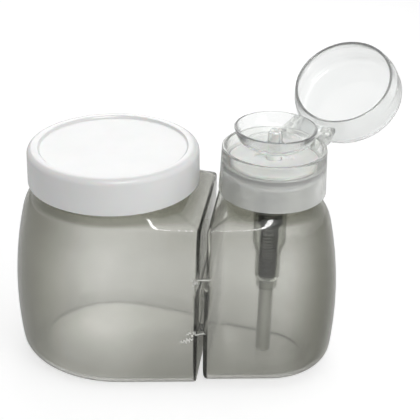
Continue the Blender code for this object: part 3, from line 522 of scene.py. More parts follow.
def surface_rings(vessel, inset):
    """Rings of the outer surface, or of the inner one a wall's thickness inside it."""
    base = vessel["base_round"] - inset
    foot = SLOT_FOOT_ROUND - inset
    rings = []
    for k in range(6):
        run = PUSH_UP_RUN * (1.0 - k / 6.0)
        rise = PUSH_UP * (0.5 - 0.5 * math.cos(math.pi * (1.0 - k / 6.0)))
        rings.append((outline(vessel, 0.0, inset + base + run, inset + foot + run, inset), inset + rise))
    for k in range(10):
        turn = math.radians(90.0 * k / 10)
        height = inset + base * (1.0 - math.cos(turn))
        share = 1.0 - math.sin(turn)
        rings.append((outline(vessel, height, inset + base * share, inset + foot * share, inset), height))
    low = vessel["base_round"]
    for k in range(SIDE_STEPS + 1):
        height = low + (SIDE_TOP - low) * k / SIDE_STEPS
        rings.append((outline(vessel, height, inset, inset, inset), height))
    rings = [[(u, v, height) for u, v in points] for points, height in rings]
    rings += shoulder_rings(vessel, inset)[1:]
    neck, lip = vessel["neck"] - inset, NECK_LIP_ROUND
    headings = [Vector(point[:2]).normalized() for point in rings[-1]]
    feet = [Vector(point) for point in rings[-1]]
    top = vessel["neck_base"] + NECK_ROOT_ROUND
    for k in range(1, 6):
        ring = []
        for heading, foot in zip(headings, feet):
            corner = Vector((*(heading * neck), foot.z))
            end = Vector((*(heading * neck), top))
            ring.append(bent(foot, corner, end, k / 5.0))
        rings.append(ring)
    if inset > 0.0:
        arc = arc_points((neck + lip, vessel["neck_top"] - lip), lip, 180.0, 90.0, 4)
        arc[-1] = (arc[-1][0], arc[-1][1] + CUT_PAST)
    else:
        arc = arc_points((neck - lip, vessel["neck_top"] - lip), lip, 0.0, 90.0, 4)
    for radius, height in arc:
        rings.append([(*(heading * radius), height) for heading in headings])
    return rings


def vessel_solid(name, vessel, inset):
    """A closed solid inside the outer surface, or the space inside the inner one."""
    shape = bmesh.new()
    loops = []
    for points in surface_rings(vessel, inset):
        loops.append([shape.verts.new((vessel["axis"] + vessel["outward"] * u, v, z)) for u, v, z in points])
    skin(shape, loops)
    return piece_from(name, shape)


def neck_thread(vessel, thread):
    return thread_ridge((vessel["axis"], 0.0), vessel["neck"], vessel["neck"] + thread["depth"], thread)


def front_at(x, height):
    """Half depth of the flat front at a distance from the jar's axis."""
    slope = front_slope(height)
    reach, depth = level_size(height, JAR)
    return math.hypot(depth, slope * reach) - slope * x


def trumpet(height, radius, flare):
    """Cutter along the slot for a round slot end, with flared mouths."""
    half_depth = front_at(SLOT_CENTRE, height)
    past_front = half_depth + 0.004
    profile = [(0.0, past_front), (radius + flare, past_front)]
    for degrees in range(0, 91, 9):
        angle = math.radians(degrees)
        reach = radius + flare - flare * math.sin(angle)
        profile.append((reach, half_depth - flare * (1.0 - math.cos(angle))))
    profile += [(r, -y) for r, y in profile[::-1]]
    cutter = lathe("trumpet", profile, (0.0, 0.0), SMALL_STEPS)
    cutter.data.transform(Matrix.Translation((SLOT_CENTRE, 0.0, height)) @ LYING)
    return cutter


def web_solid():
    """The web between the vessels, flush with their fronts, with a round hollow at each end."""
    half_slot = SLOT_WIDTH / 2.0
    reach = half_slot + WEB_REACH
    top, bottom = WEB_TOP + half_slot, WEB_BOTTOM - half_slot
    shape = bmesh.new()
    loops = []
    for k in range(13):
        height = bottom + (top - bottom) * k / 12
        loop = []
        for side in (-1.0, 1.0):
            for n in range(9):
                x = SLOT_CENTRE + reach * (n / 4.0 - 1.0) * -side
                loop.append(shape.verts.new((x, side * (front_at(x, height) - WEB_RECESS), height)))
        loops.append(loop)
    skin(shape, loops)
    web = piece_from("web", shape)
    ends = [trumpet(top, half_slot, MOUTH_ROUND), trumpet(bottom, half_slot, FOOT_MOUTH_ROUND)]
    combine(web, ends, "DIFFERENCE")
    return web


def web_hollow():
    edge = 0.0006
    middle = (WEB_BOTTOM + WEB_TOP) / 2.0
    half_depth = front_at(SLOT_CENTRE, WEB_TOP) - VESSEL_WALL - edge
    shape = bmesh.new()
    bmesh.ops.create_cube(shape, size=1.0)
    size = Vector((SLOT_WIDTH - 0.0004, 2.0 * half_depth, WEB_TOP - WEB_BOTTOM - 2.0 * VESSEL_WALL))
    bmesh.ops.scale(shape, vec=size, verts=shape.verts)
    bmesh.ops.bevel(shape, geom=shape.edges[:], offset=edge, segments=3, profile=0.5, affect="EDGES")
    bmesh.ops.translate(shape, vec=(SLOT_CENTRE, 0.0, middle), verts=shape.verts)
    return piece_from("hollow", shape)


def make_vessels():
    """Both vessels and their web are one blown moulding."""
    body = vessel_solid("twin_vessel", JAR, 0.0)
    combine(body, [vessel_solid("bottle_outer", BOTTLE, 0.0), web_solid()])
    combine(body, [vessel_solid("jar_inner", JAR, VESSEL_WALL),
                   vessel_solid("bottle_inner", BOTTLE, VESSEL_WALL), web_hollow()], "DIFFERENCE")
    # The threads go on last: the hollowing cut leaves a film over the mouths when they are there before it.
    combine(body, [neck_thread(JAR, JAR_THREAD), neck_thread(BOTTLE, BOTTLE_THREAD)])
    dress(body, ("jar_body", "bottle_body"), "vessels", smoke_material())
    return body


SCARS = {
    "upper_flash": ((0.0330, -0.0290, 0.0486), (0.0352, -0.0275, 0.0458), (0.0378, -0.0290, 0.0482)),
    "lower_flash": ((0.0322, -0.0330, 0.0256), (0.0352, -0.0330, 0.0276), (0.0380, -0.0325, 0.0260)),
    "jar_flash": ((0.0298, -0.0330, 0.0226), (0.0323, -0.0330, 0.0240), (0.0346, -0.0330, 0.0240)),
}


SCAR_SEED = 1
SCAR_STEPS = 26
SCAR_SIDES = 6
SCAR_WOBBLE = (0.0005, 0.0020)       # sideways and upwards
SCAR_SIZE = (0.00034, 0.00055)       # radius, and what the noise adds to it
SCAR_RISE = 0.35                     # share of the radius that stands clear


def make_scars(body):
    """Torn flash at the ends of the web: small ragged ridges on the moulding."""
    noise.seed_set(SCAR_SEED)            # without a seed this noise differs each run
    for index, (name, ends) in enumerate(SCARS.items()):
        first, middle, last = [Vector(end) for end in ends]
        along = (last - first).normalized()
        shape = bmesh.new()
        sections = []
        for k in range(SCAR_STEPS + 1):
            share = k / SCAR_STEPS
            wobble = noise.noise_vector(Vector((index * 7.3, k * 0.83, 1.7)))
            aim = bent(first, middle, last, share)
            aim += Vector((wobble.x * SCAR_WOBBLE[0], 0.0, wobble.z * SCAR_WOBBLE[1]))
            _, place, normal, _ = body.closest_point_on_mesh(aim)
            size = (SCAR_SIZE[0] + SCAR_SIZE[1] * abs(wobble.y)) * math.sin(math.pi * (0.06 + 0.88 * share))
            across = normal.cross(along).normalized()
            rim = []
            for n in range(SCAR_SIDES):
                angle = 2.0 * math.pi * n / SCAR_SIDES
                rise = math.sin(angle) + SCAR_RISE
                rim.append(shape.verts.new(place + across * size * math.cos(angle) + normal * size * rise))
            sections.append(rim)
        skin(shape, sections)
        scar = piece_from(name, shape)
        smooth(scar, 25.0)
        scar.data.materials.append(scar_material())
        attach(scar, "vessels")


# Lid


def make_lid():
    foot = LID_UNDERSIDE - LID_SKIRT_DEPTH
    top_radius = LID_RADIUS - LID_DRAFT
    recess = top_radius - LID_RIM_WIDTH
    corners = [
        (0.0, LID_PANEL_TOP, 0.0), (recess - LID_RECESS_RUN, LID_PANEL_TOP, LID_RECESS_ROUND),
        (recess, LID_RIM_TOP, BLUNT), (top_radius, LID_RIM_TOP, LID_EDGE_ROUND), (LID_RADIUS, foot, SOFT),
        (LID_BORE, foot, EDGE), (LID_BORE, LID_UNDERSIDE, SOFT), (0.0, LID_UNDERSIDE, 0.0),
    ]
    lid = lathe("screw_lid", rounded(corners, False), JAR_AXIS, LARGE_STEPS)
    crest = LID_BORE - LID_THREAD_DEPTH
    combine(lid, [thread_ridge(JAR_AXIS, LID_BORE, crest, JAR_THREAD, LID_THREAD_BELOW)])
    dress(lid, ("jar_lid",), "lid", lid_material())


def make_liner():
    radius = LID_BORE - SEAT_GAP
    top = LINER_BOTTOM + LINER_THICKNESS
    edge = LINER_THICKNESS / 4.0
    corners = [(0.0, top, 0.0), (radius, top, edge), (radius, LINER_BOTTOM, edge), (0.0, LINER_BOTTOM, 0.0)]
    liner = lathe("foam_liner", rounded(corners, False), JAR_AXIS, LARGE_STEPS)
    dress(liner, ("lid_liner",), "liner", foam_material())


# Pump


def hinge_matrix():
    place = (AXIS_SPACING + HINGE_REACH * math.cos(HINGE_YAW), HINGE_REACH * math.sin(HINGE_YAW), HINGE_LEVEL)
    return Matrix.Translation(place) @ Matrix.Rotation(HINGE_YAW, 4, "Z")


def make_collar():
    hole = HOUSING_UPPER + SEAT_GAP
    corners = [
        (RING_BORE, RIM_LEVEL, BLUNT), (RIM_RADIUS, RIM_LEVEL, BLUNT), (COLLAR_RADIUS, COLLAR_FOOT, BLUNT),
        (COLLAR_BORE, COLLAR_FOOT, EDGE), (COLLAR_BORE, DECK_BOTTOM, SOFT), (hole, DECK_BOTTOM, FINE),
        (hole, DECK_TOP, EDGE), (RING_BORE - RING_DRAFT, DECK_TOP, SOFT),
    ]
    collar = lathe("pump_collar_ring", rounded(corners), PUMP_AXIS, MEDIUM_STEPS)
    crest = COLLAR_BORE - COLLAR_THREAD_DEPTH
    ridge = thread_ridge(PUMP_AXIS, COLLAR_BORE, crest, BOTTLE_THREAD, COLLAR_THREAD_BELOW)
    matrix = hinge_matrix()
    inside_wall = (RING_BORE + RIM_RADIUS) / 2.0
    root = math.sqrt(inside_wall ** 2 - (EAR_INNER + EAR_THICKNESS) ** 2) - HINGE_REACH
    shape = [(root, -KNUCKLE_RADIUS)] + arc_points((0.0, 0.0), KNUCKLE_RADIUS, -90.0, 90.0, 24)
    shape += [(root, KNUCKLE_RADIUS)]
    ears = []
    for side in (-1.0, 1.0):
        middle = side * (EAR_INNER + EAR_THICKNESS / 2.0)
        ears.append(bar(shape, EAR_THICKNESS / 2.0, middle, matrix, SOFT))
    combine(collar, [ridge] + ears)
    bore = rod(PIVOT_RADIUS + SLIDE_GAP, (EAR_INNER + EAR_THICKNESS) * 1.1, matrix)
    combine(collar, [bore], "DIFFERENCE")
    dress(collar, ("pump_collar",), "pump", frosted_material())


def make_guide_plate():
    bore = STEM_RADIUS + SLIDE_GAP
    tube = UPPER_BORE - SEAT_GAP
    corners = [
        (bore, PLATE_TOP, EDGE), (PLATE_RADIUS, PLATE_TOP, SOFT), (PLATE_RADIUS, PLATE_BOTTOM, FINE),
        (tube, PLATE_BOTTOM, EDGE), (tube, GUIDE_FOOT, FINE), (bore, GUIDE_FOOT, FINE),
    ]
    plate = lathe("guide_disc", rounded(corners), PUMP_AXIS, MEDIUM_STEPS)
    dimples = []
    for degrees in (90.0 - DIMPLE_ANGLE, 90.0 + DIMPLE_ANGLE):
        angle = math.radians(degrees)
        centre = (AXIS_SPACING + DIMPLE_ORBIT * math.cos(angle), DIMPLE_ORBIT * math.sin(angle))
        cutter = [(0.0, PLATE_TOP + DIMPLE_DEPTH, 0.0), (DIMPLE_RADIUS, PLATE_TOP + DIMPLE_DEPTH, 0.0),
                  (DIMPLE_RADIUS, PLATE_TOP - DIMPLE_DEPTH, EDGE), (0.0, PLATE_TOP - DIMPLE_DEPTH, 0.0)]
        dimples.append(lathe("dimple", rounded(cutter, False), centre, SMALL_STEPS))
    combine(plate, dimples, "DIFFERENCE")
    dress(plate, ("guide_plate",), "pump", white_plastic_material())


def make_housing():
    lower = LOWER_BORE + HOUSING_WALL
    socket = SOCKET_BORE + HOUSING_WALL
    flange = BOTTLE["neck"]
    corners = [
        (HOUSING_UPPER, DECK_TOP, FINE), (HOUSING_UPPER, FLANGE_TOP, EDGE), (flange, FLANGE_TOP, EDGE),
        (flange, FLANGE_BOTTOM, EDGE), (HOUSING_UPPER, FLANGE_BOTTOM, FLANGE_ROUND),
        (HOUSING_UPPER, HOUSING_STEP_TOP, HOUSING_STEP_ROUND),
        (lower, HOUSING_STEP_BOTTOM, HOUSING_STEP_ROUND),
        (lower, HOUSING_FLOOR, SOFT), (socket, SOCKET_TOP, SOFT), (socket, HOUSING_FOOT, EDGE),
        (SOCKET_BORE, HOUSING_FOOT, EDGE), (SOCKET_BORE, SOCKET_TOP, FINE), (VALVE_HOLE, SOCKET_TOP, HAIR),
        (VALVE_HOLE, HOUSING_FLOOR, HAIR), (LOWER_BORE, HOUSING_FLOOR, EDGE),
        (LOWER_BORE, HOUSING_STEP_BOTTOM, BORE_STEP_ROUND),
        (UPPER_BORE, HOUSING_STEP_TOP, BORE_STEP_ROUND),
        (UPPER_BORE, DECK_TOP, FINE),
    ]
    housing = lathe("pump_barrel", rounded(corners), PUMP_AXIS, SMALL_STEPS * 2)
    dress(housing, ("pump_housing",), "pump", barrel_material())


def make_gasket():
    inner = BOTTLE["neck"] - GASKET_WIDTH
    corners = [(inner, GASKET_TOP, FINE), (BOTTLE["neck"], GASKET_TOP, FINE),
               (BOTTLE["neck"], GASKET_BOTTOM, FINE), (inner, GASKET_BOTTOM, FINE)]
    gasket = lathe("foam_gasket", rounded(corners), PUMP_AXIS, MEDIUM_STEPS)
    dress(gasket, ("neck_gasket",), "pump", foam_material())


def make_dip_tube():
    bore = TUBE_RADIUS - TUBE_WALL
    corners = [(TUBE_RADIUS, TUBE_TOP, FINE), (TUBE_RADIUS, TUBE_FOOT, FINE), (bore, TUBE_FOOT, FINE),
               (bore, TUBE_TOP, FINE)]
    tube = lathe("suction_tube", rounded(corners), PUMP_AXIS, SMALL_STEPS)
    dress(tube, ("dip_tube",), "pump", tube_material())


def make_cage():
    bore = INLET_BALL[0] + SLIDE_GAP
    foot = HOUSING_FLOOR + SEAT_GAP
    flange = LOWER_BORE - SEAT_GAP
    corners = [
        (VALVE_HOLE, CAGE_LEVEL, HAIR), (CAGE_RADIUS, CAGE_LEVEL, SOFT),
        (CAGE_RADIUS, foot + CAGE_FLANGE, EDGE), (flange, foot + CAGE_FLANGE, FINE), (flange, foot, FINE),
        (bore, foot, HAIR),
        (bore, CAGE_CEILING, FINE), (VALVE_HOLE, CAGE_CEILING, HAIR),
    ]
    cage = lathe("valve_cage", rounded(corners), PUMP_AXIS, SMALL_STEPS)
    dress(cage, ("ball_cage",), "pump", seal_material())


def make_valve_ball(name, node_name, size, body):
    radius, level = size
    angles = [math.pi * k / 24 for k in range(25)]
    points = [(radius * math.sin(angle), level + radius * math.cos(angle)) for angle in angles]
    points[0] = (0.0, level + radius)
    points[-1] = (0.0, level - radius)
    item = lathe(name, points, PUMP_AXIS, 32)
    dress(item, (node_name,), body, glass_material())


def make_piston():
    outer = UPPER_BORE - SLIDE_GAP
    socket = STEM_RADIUS + SEAT_GAP
    waist = outer - PISTON_WAIST
    cup = PISTON_TOP - PISTON_CUP_DEPTH
    corners = [
        (outer - PISTON_LIP, PISTON_TOP, HAIR), (outer, PISTON_TOP, EDGE),
        (waist, PISTON_FLOOR + PISTON_WAIST_RISE, PISTON_WAIST_RISE),
        (outer, PISTON_LEVEL, EDGE), (VALVE_HOLE, PISTON_LEVEL, HAIR), (VALVE_HOLE, PISTON_FLOOR, HAIR),
        (socket, PISTON_FLOOR, FINE), (socket, cup, FINE), (waist - PISTON_LIP, cup, EDGE),
    ]
    piston = lathe("piston_cup", rounded(corners), PUMP_AXIS, SMALL_STEPS)
    dress(piston, ("piston_seal",), "dish", seal_material())


def make_stem():
    top = HUB_CEILING - SEAT_GAP
    corners = [
        (SPIGOT_RADIUS, top, FINE), (SPIGOT_RADIUS, STEM_SHOULDER, FINE), (STEM_RADIUS, STEM_SHOULDER, EDGE),
        (STEM_RADIUS, STEM_FOOT, FINE), (OUTLET_CHAMBER, STEM_FOOT, FINE),
        (OUTLET_CHAMBER, OUTLET_CEILING, HAIR), (VALVE_HOLE, OUTLET_CEILING + OUTLET_CONE, HAIR),
        (VALVE_HOLE, top, HAIR),
    ]
    stem = lathe("plunger_stem", rounded(corners), PUMP_AXIS, SMALL_STEPS)
    dress(stem, ("pump_stem",), "dish", white_plastic_material())


def make_dish():
    socket = SPIGOT_RADIUS + SEAT_GAP
    floor_top = DISH_BOTTOM + DISH_WALL
    lip = DISH_WALL / 2.0
    corners = [
        (DISH_RADIUS, DISH_RIM, BLUNT), (DISH_SIDE_RADIUS, DISH_SIDE_LEVEL, DISH_SIDE_ROUNDS[0]),
        (DISH_FLOOR_RADIUS, DISH_BOTTOM, DISH_FLOOR_ROUNDS[0]), (socket, DISH_BOTTOM, FINE),
        (socket, HUB_CEILING, HAIR), (OUTLET_HOLE, HUB_CEILING, HAIR), (OUTLET_HOLE, HUB_TOP, HAIR),
        (HUB_RADIUS, HUB_TOP, BLUNT), (HUB_RADIUS + HUB_FLARE, floor_top, 0.0008),
        (DISH_FLOOR_RADIUS, floor_top, DISH_FLOOR_ROUNDS[1]),
        (DISH_SIDE_RADIUS - DISH_WALL, DISH_SIDE_LEVEL + lip, DISH_SIDE_ROUNDS[1]),
        (DISH_RADIUS - DISH_WALL, DISH_RIM, SOFT),
    ]
    dish = lathe("press_saucer", rounded(corners), PUMP_AXIS, MEDIUM_STEPS)
    dress(dish, ("pump_dish",), "dish", clear_material("clear_saucer_plastic", 0.93, 0.08, 0.14))


def make_spring():
    """A round wire coil, closer wound than the CAD one."""
    low = SPRING_BOTTOM + SPRING_WIRE / 2.0
    high = SPRING_TOP - SPRING_WIRE / 2.0
    open_rise = high - low - 2.0 * SPRING_END_RISE
    per_turn, sides = 28, 10
    shape = bmesh.new()
    sections = []
    count = SPRING_TURNS * per_turn
    for i in range(count + 1):
        turn = i / per_turn
        if turn < 1.0:
            height = low + SPRING_END_RISE * turn
        elif turn > SPRING_TURNS - 1.0:
            height = high - SPRING_END_RISE * (SPRING_TURNS - turn)
        else:
            height = low + SPRING_END_RISE + open_rise * (turn - 1.0) / (SPRING_TURNS - 2.0)
        angle = 2.0 * math.pi * turn
        section = []
        for k in range(sides):
            around = 2.0 * math.pi * k / sides
            radius = SPRING_RADIUS + SPRING_WIRE / 2.0 * math.cos(around)
            rise = SPRING_WIRE / 2.0 * math.sin(around)
            section.append(shape.verts.new(beside(PUMP_AXIS, radius, angle, height + rise)))
        sections.append(section)
    skin(shape, sections, backward=True)
    spring = piece_from("coil_spring", shape)
    dress(spring, ("return_spring",), "pump", steel_material())
    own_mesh(spring)


def belt_outline(first, first_radius, second, second_radius):
    """Outline of a belt round two circles."""
    gap = Vector(second) - Vector(first)
    heading = math.degrees(math.atan2(gap.y, gap.x))
    spread = math.degrees(math.acos((first_radius - second_radius) / gap.length))
    points = arc_points(first, first_radius, heading + spread, heading + 360.0 - spread, 28)
    points += arc_points(second, second_radius, heading - spread, heading + spread, 14)
    return points


def make_flip_cap():
    """Drawn closed about the pump's axis, in the hinge's frame, then turned open."""
    widest = CAP_RIM_RADIUS + CAP_FLARE
    top = CAP_RIM_LEVEL + CAP_HEIGHT
    edge = CAP_HEIGHT - CAP_FLARE_HEIGHT
    bend = CAP_RIM_LEVEL + CAP_BEND_LEVEL
    bend_radius = CAP_RIM_RADIUS + CAP_BEND_FLARE
    corners = [
        (0.0, top, 0.0), (widest, top, edge), (bend_radius, bend, CAP_BEND_ROUND),
        (CAP_RIM_RADIUS, CAP_RIM_LEVEL, SOFT), (CAP_RIM_RADIUS - CAP_WALL, CAP_RIM_LEVEL, SOFT),
        (bend_radius - CAP_WALL, bend, CAP_BEND_ROUND), (widest - CAP_WALL, top - CAP_WALL, edge - CAP_WALL),
        (0.0, top - CAP_WALL, 0.0),
    ]
    cap = lathe("flip_dome", rounded(corners, False, 12), (-HINGE_REACH, 0.0), MEDIUM_STEPS)
    cap.data.transform(Matrix.Translation((0.0, 0.0, -HINGE_LEVEL)))
    end = (bend_radius - HINGE_REACH, CAP_RIM_LEVEL - HINGE_LEVEL + TONGUE_END_RISE)
    shape = belt_outline((0.0, 0.0), KNUCKLE_RADIUS, end, TONGUE_END_RADIUS)
    still = Matrix.Identity(4)
    tongue = bar(shape, TONGUE_HALF_WIDTH, 0.0, still, SOFT)
    pivots = rod(PIVOT_RADIUS, EAR_INNER + EAR_THICKNESS - SLIDE_GAP, still)
    combine(cap, [tongue, pivots])
    cap.data.transform(hinge_matrix() @ Matrix.Rotation(CAP_OPENING, 4, "Y"))
    dress(cap, ("flip_cap",), "cap", clear_material("clear_cap_plastic", 0.88, 0.08, 0.16))


# Materials


class Tree:
    """The nodes of a world or a material, while they are put together."""

    def __init__(self, owner):
        owner.use_nodes = True
        self.nodes = owner.node_tree.nodes
        self.links = owner.node_tree.links

    def feed(self, node, **values):
        """Sets inputs of a node, or links them where the value is the output of another node."""
        for name, value in values.items():
            socket = node.inputs[name.replace("_", " ").title().replace("Ior", "IOR")]
            if isinstance(value, bpy.types.NodeSocket):
                self.links.new(value, socket)
            else:
                socket.default_value = value
        return node

    def spread(self, source, low, high, start=0.3, end=0.7):
        """Stretches what lies between start and end over low to high."""
        node = self.nodes.new("ShaderNodeMapRange")
        self.feed(node, value=source, from_min=start, from_max=end, to_min=low, to_max=high)
        return node.outputs["Result"]

    def joined(self, operation, *sources):
        """Works several values into one."""
        total = sources[0]
        for source in sources[1:]:
            node = self.nodes.new("ShaderNodeMath")
            node.operation = operation
            self.links.new(total, node.inputs[0])
            self.links.new(source, node.inputs[1])
            total = node.outputs["Value"]
        return total

    def seen_by(self, *kinds):
        """1 for the named kinds of ray, and 0 for the rays that light the object."""
        path = self.nodes.new("ShaderNodeLightPath")
        return self.joined("MAXIMUM", *[path.outputs[kind] for kind in kinds])


class Paint(Tree):
    """A material being built: its nodes and its main shader."""

    def __init__(self, name):
        self.material = bpy.data.materials.new(name)
        super().__init__(self.material)
        self.shader = self.nodes["Principled BSDF"]
        self.output = self.nodes["Material Output"]
        self.place = self.nodes.new("ShaderNodeTexCoord").outputs["Object"]

    def set(self, **values):
        self.feed(self.shader, **values)

    def noise(self, scale, detail=3.0, roughness=0.5, stretch=None):
        place = self.place
        if stretch is not None:
            mapping = self.nodes.new("ShaderNodeMapping")
            place = self.feed(mapping, vector=place, scale=stretch).outputs["Vector"]
        node = self.nodes.new("ShaderNodeTexNoise")
        self.feed(node, vector=place, scale=scale, detail=detail, roughness=roughness)
        return node.outputs["Fac"]

    def ramp(self, axis, start, end, low=0.0, high=1.0):
        """From low to high along an axis of the object, eased at both ends."""
        split = self.feed(self.nodes.new("ShaderNodeSeparateXYZ"), vector=self.place)
        result = self.spread(split.outputs[axis], low, high, start, end)
        result.node.interpolation_type = "SMOOTHSTEP"
        return result

    def mix(self, share, first, second):
        """Turns one colour into another. Either may be the output of a node."""
        node = self.nodes.new("ShaderNodeMix")
        node.data_type = "RGBA"
        first, second = [(*end, 1.0) if isinstance(end, tuple) else end for end in (first, second)]
        return self.feed(node, a=first, b=second, factor=share).outputs["Result"]

    def tint(self, cloud, first, second):
        """Drifts the colour between two, as a noise does."""
        self.set(base_color=self.mix(self.spread(cloud, 0.0, 1.0), first, second))

    def rough(self, grain, smoothest, roughest):
        self.set(roughness=self.spread(grain, smoothest, roughest))

    def bump(self, *layers):
        """Stacks bumps of (height source, distance in metres)."""
        normal = None
        for source, distance in layers:
            node = self.nodes.new("ShaderNodeBump")
            self.feed(node, strength=1.0, distance=distance, height=source)
            if normal is not None:
                self.feed(node, normal=normal)
            normal = node.outputs["Normal"]
        self.set(normal=normal)

    def absorb(self, colour, density):
        node = self.nodes.new("ShaderNodeVolumeAbsorption")
        self.feed(node, color=(*colour, 1.0), density=density)
        self.feed(self.output, volume=node.outputs["Volume"])


# Where the coat, the smoke's painted shade and the frost change, in metres
COAT_EDGE = (0.0016, 0.0030)         # from the slot's middle: bare plastic, then a full coat
JAR_END = (-0.0395, -0.012)
BOTTLE_END = (0.0870, 0.0640)
FOOT_LEVELS = (0.0, 0.034)
SHOULDER_LEVELS = (0.045, 0.068)
NECK_LEVELS = (0.0664, 0.0682)
INNER_REACH = (0.0, 0.024)
FROST_LEVELS = (0.0838, 0.0862)


def smoke_material():
    """Smoky blown plastic with painted light and shade: lighter in the middle of the moulding, painted darker
    at its round ends, foot, upper side and neck root, and painted lighter from the jar's axis outwards.
    """
    paint = Paint("smoky_plastic")
    paint.set(transmission_weight=0.98, ior=1.22, coat_roughness=0.08)
    coats = []
    for side in (1.0, -1.0):
        start, end = [SLOT_CENTRE + side * reach for reach in COAT_EDGE]
        coats.append(paint.ramp("X", start, end, 0.0, 0.6))
    paint.set(coat_weight=paint.joined("MAXIMUM", *coats))
    # Painted shade: darker towards both round ends.
    ends = paint.joined("MULTIPLY", paint.ramp("X", *JAR_END), paint.ramp("X", *BOTTLE_END))
    # Painted shade: darker towards the foot, and up the shoulder under the lid.
    levels = paint.joined("MULTIPLY", paint.ramp("Z", *FOOT_LEVELS, 0.58, 1.0),
                          paint.ramp("Z", *SHOULDER_LEVELS, 1.0, 0.55))
    # Painted shadow of the lid at the neck's root.
    root = paint.ramp("Z", *NECK_LEVELS, 1.0, 0.05)
    # Painted light: lighter from the jar's axis outwards than towards the slot and the bottle.
    inner = paint.ramp("X", *INNER_REACH, 1.0, 0.78)
    cloud = paint.spread(paint.noise(60.0), 0.90, 1.0)
    # Painted light and shade, times a random drift of tone.
    tone_and_painted_shade = paint.joined("MULTIPLY", ends, levels, root, inner, cloud)
    # From the darkest painted shade to the plastic's lightest tone.
    paint.set(base_color=paint.mix(tone_and_painted_shade, (0.27, 0.27, 0.225), (0.955, 0.955, 0.935)))
    scuff = paint.noise(1500.0, roughness=0.6)
    paint.rough(scuff, 0.12, 0.18)
    paint.bump((paint.noise(70.0, 1.0, stretch=(1.0, 1.0, 0.45)), 0.00005), (scuff, 0.000004))
    paint.absorb((0.30, 0.30, 0.20), 12.0)
    return paint.material


def scar_material():
    """Stress-whitened plastic along torn flash."""
    paint = Paint("whitened_flash")
    paint.set(ior=1.5)
    cloud = paint.noise(3000.0)
    paint.tint(cloud, (0.93, 0.93, 0.90), (0.78, 0.78, 0.74))
    paint.rough(cloud, 0.25, 0.45)
    paint.bump((cloud, 0.00002))
    return paint.material


def lid_material():
    """Glossy white polypropylene with slow waves from its moulding."""
    paint = Paint("glossy_white_plastic")
    paint.set(ior=1.49, subsurface_weight=0.15, subsurface_scale=0.0015)
    paint.tint(paint.noise(70.0), (0.90, 0.905, 0.90), (0.87, 0.875, 0.87))
    scuff = paint.noise(700.0, 4.0, 0.6)
    paint.rough(scuff, 0.16, 0.26)
    paint.bump((paint.noise(55.0, 1.0, stretch=(1.0, 0.35, 1.0)), 0.00045), (scuff, 0.000006))
    return paint.material


def white_plastic_material():
    paint = Paint("satin_white_plastic")
    paint.set(ior=1.49, subsurface_weight=0.2, subsurface_scale=0.001)
    paint.tint(paint.noise(150.0), (0.93, 0.935, 0.92), (0.90, 0.905, 0.89))
    grain = paint.noise(2200.0, 2.0)
    paint.rough(grain, 0.30, 0.42)
    paint.bump((grain, 0.000008))
    return paint.material


def frosted_material():
    """Milky natural polypropylene: cloudy round the thread, clear in the slim ring above."""
    paint = Paint("milky_plastic")
    paint.set(ior=1.35, coat_weight=0.5, coat_roughness=0.08)
    paint.set(transmission_weight=paint.ramp("Z", *FROST_LEVELS, 0.66, 0.95))
    paint.tint(paint.noise(120.0), (0.97, 0.98, 0.96), (0.94, 0.95, 0.93))
    paint.rough(paint.noise(600.0, roughness=0.6), 0.14, 0.22)
    paint.bump((paint.noise(160.0, 2.0), 0.00003))
    paint.absorb((0.30, 0.32, 0.26), 10.0)
    return paint.material


def barrel_material():
    paint = Paint("natural_barrel_plastic")
    paint.set(transmission_weight=0.97, ior=1.30)
    paint.tint(paint.noise(200.0), (0.96, 0.97, 0.95), (0.93, 0.94, 0.92))
    grain = paint.noise(2600.0, roughness=0.6)
    paint.rough(grain, 0.15, 0.24)
    paint.bump((grain, 0.000008))
    paint.absorb((0.30, 0.33, 0.25), 50.0)
    return paint.material


def clear_material(name, clearness, smoothest, roughest):
    """Clear polypropylene: slim walls look pale grey and rims seen on edge look darker."""
    paint = Paint(name)
    paint.set(transmission_weight=clearness, ior=1.49, coat_weight=0.4, coat_roughness=0.06)
    paint.tint(paint.noise(90.0), (0.985, 0.99, 0.985), (0.96, 0.97, 0.965))
    paint.rough(paint.noise(900.0, roughness=0.6), smoothest, roughest)
    paint.bump((paint.noise(140.0, 2.0), 0.00005))
    paint.absorb((0.45, 0.50, 0.47), 25.0)
    return paint.material


def tube_material():
    paint = Paint("natural_tube_plastic")
    paint.set(transmission_weight=0.85, ior=1.51)
    paint.tint(paint.noise(250.0, stretch=(1.0, 1.0, 0.3)), (0.95, 0.955, 0.93), (0.90, 0.905, 0.88))
    grain = paint.noise(1800.0, stretch=(1.0, 1.0, 0.2))
    paint.rough(grain, 0.30, 0.45)
    paint.bump((grain, 0.000010))
    return paint.material


def seal_material():
    # Painted shade: near black, standing for the shadow inside the pump's tube, on the piston cup and valve
    # cage.
    paint = Paint("seal_plastic_painted_shade")
    paint.set(ior=1.51)
    paint.tint(paint.noise(300.0), (0.020, 0.021, 0.016), (0.012, 0.013, 0.010))
    grain = paint.noise(2000.0)
    paint.rough(grain, 0.40, 0.55)
    paint.bump((grain, 0.000008))
    return paint.material


def foam_material():
    """Fine-celled foam."""
    paint = Paint("foam")
    paint.set(ior=1.45, subsurface_weight=0.1, subsurface_scale=0.0008)
    cells = paint.nodes.new("ShaderNodeTexVoronoi")
    paint.feed(cells, vector=paint.place, scale=2600.0)
    depth = paint.spread(cells.outputs["Distance"], 0.0, 1.0, 0.0, 0.6)
    paint.set(base_color=paint.mix(depth, (0.78, 0.78, 0.75), (0.87, 0.87, 0.85)))
    paint.set(roughness=paint.spread(depth, 0.85, 0.95, 0.0, 1.0))
    paint.bump((depth, 0.00006))
    return paint.material


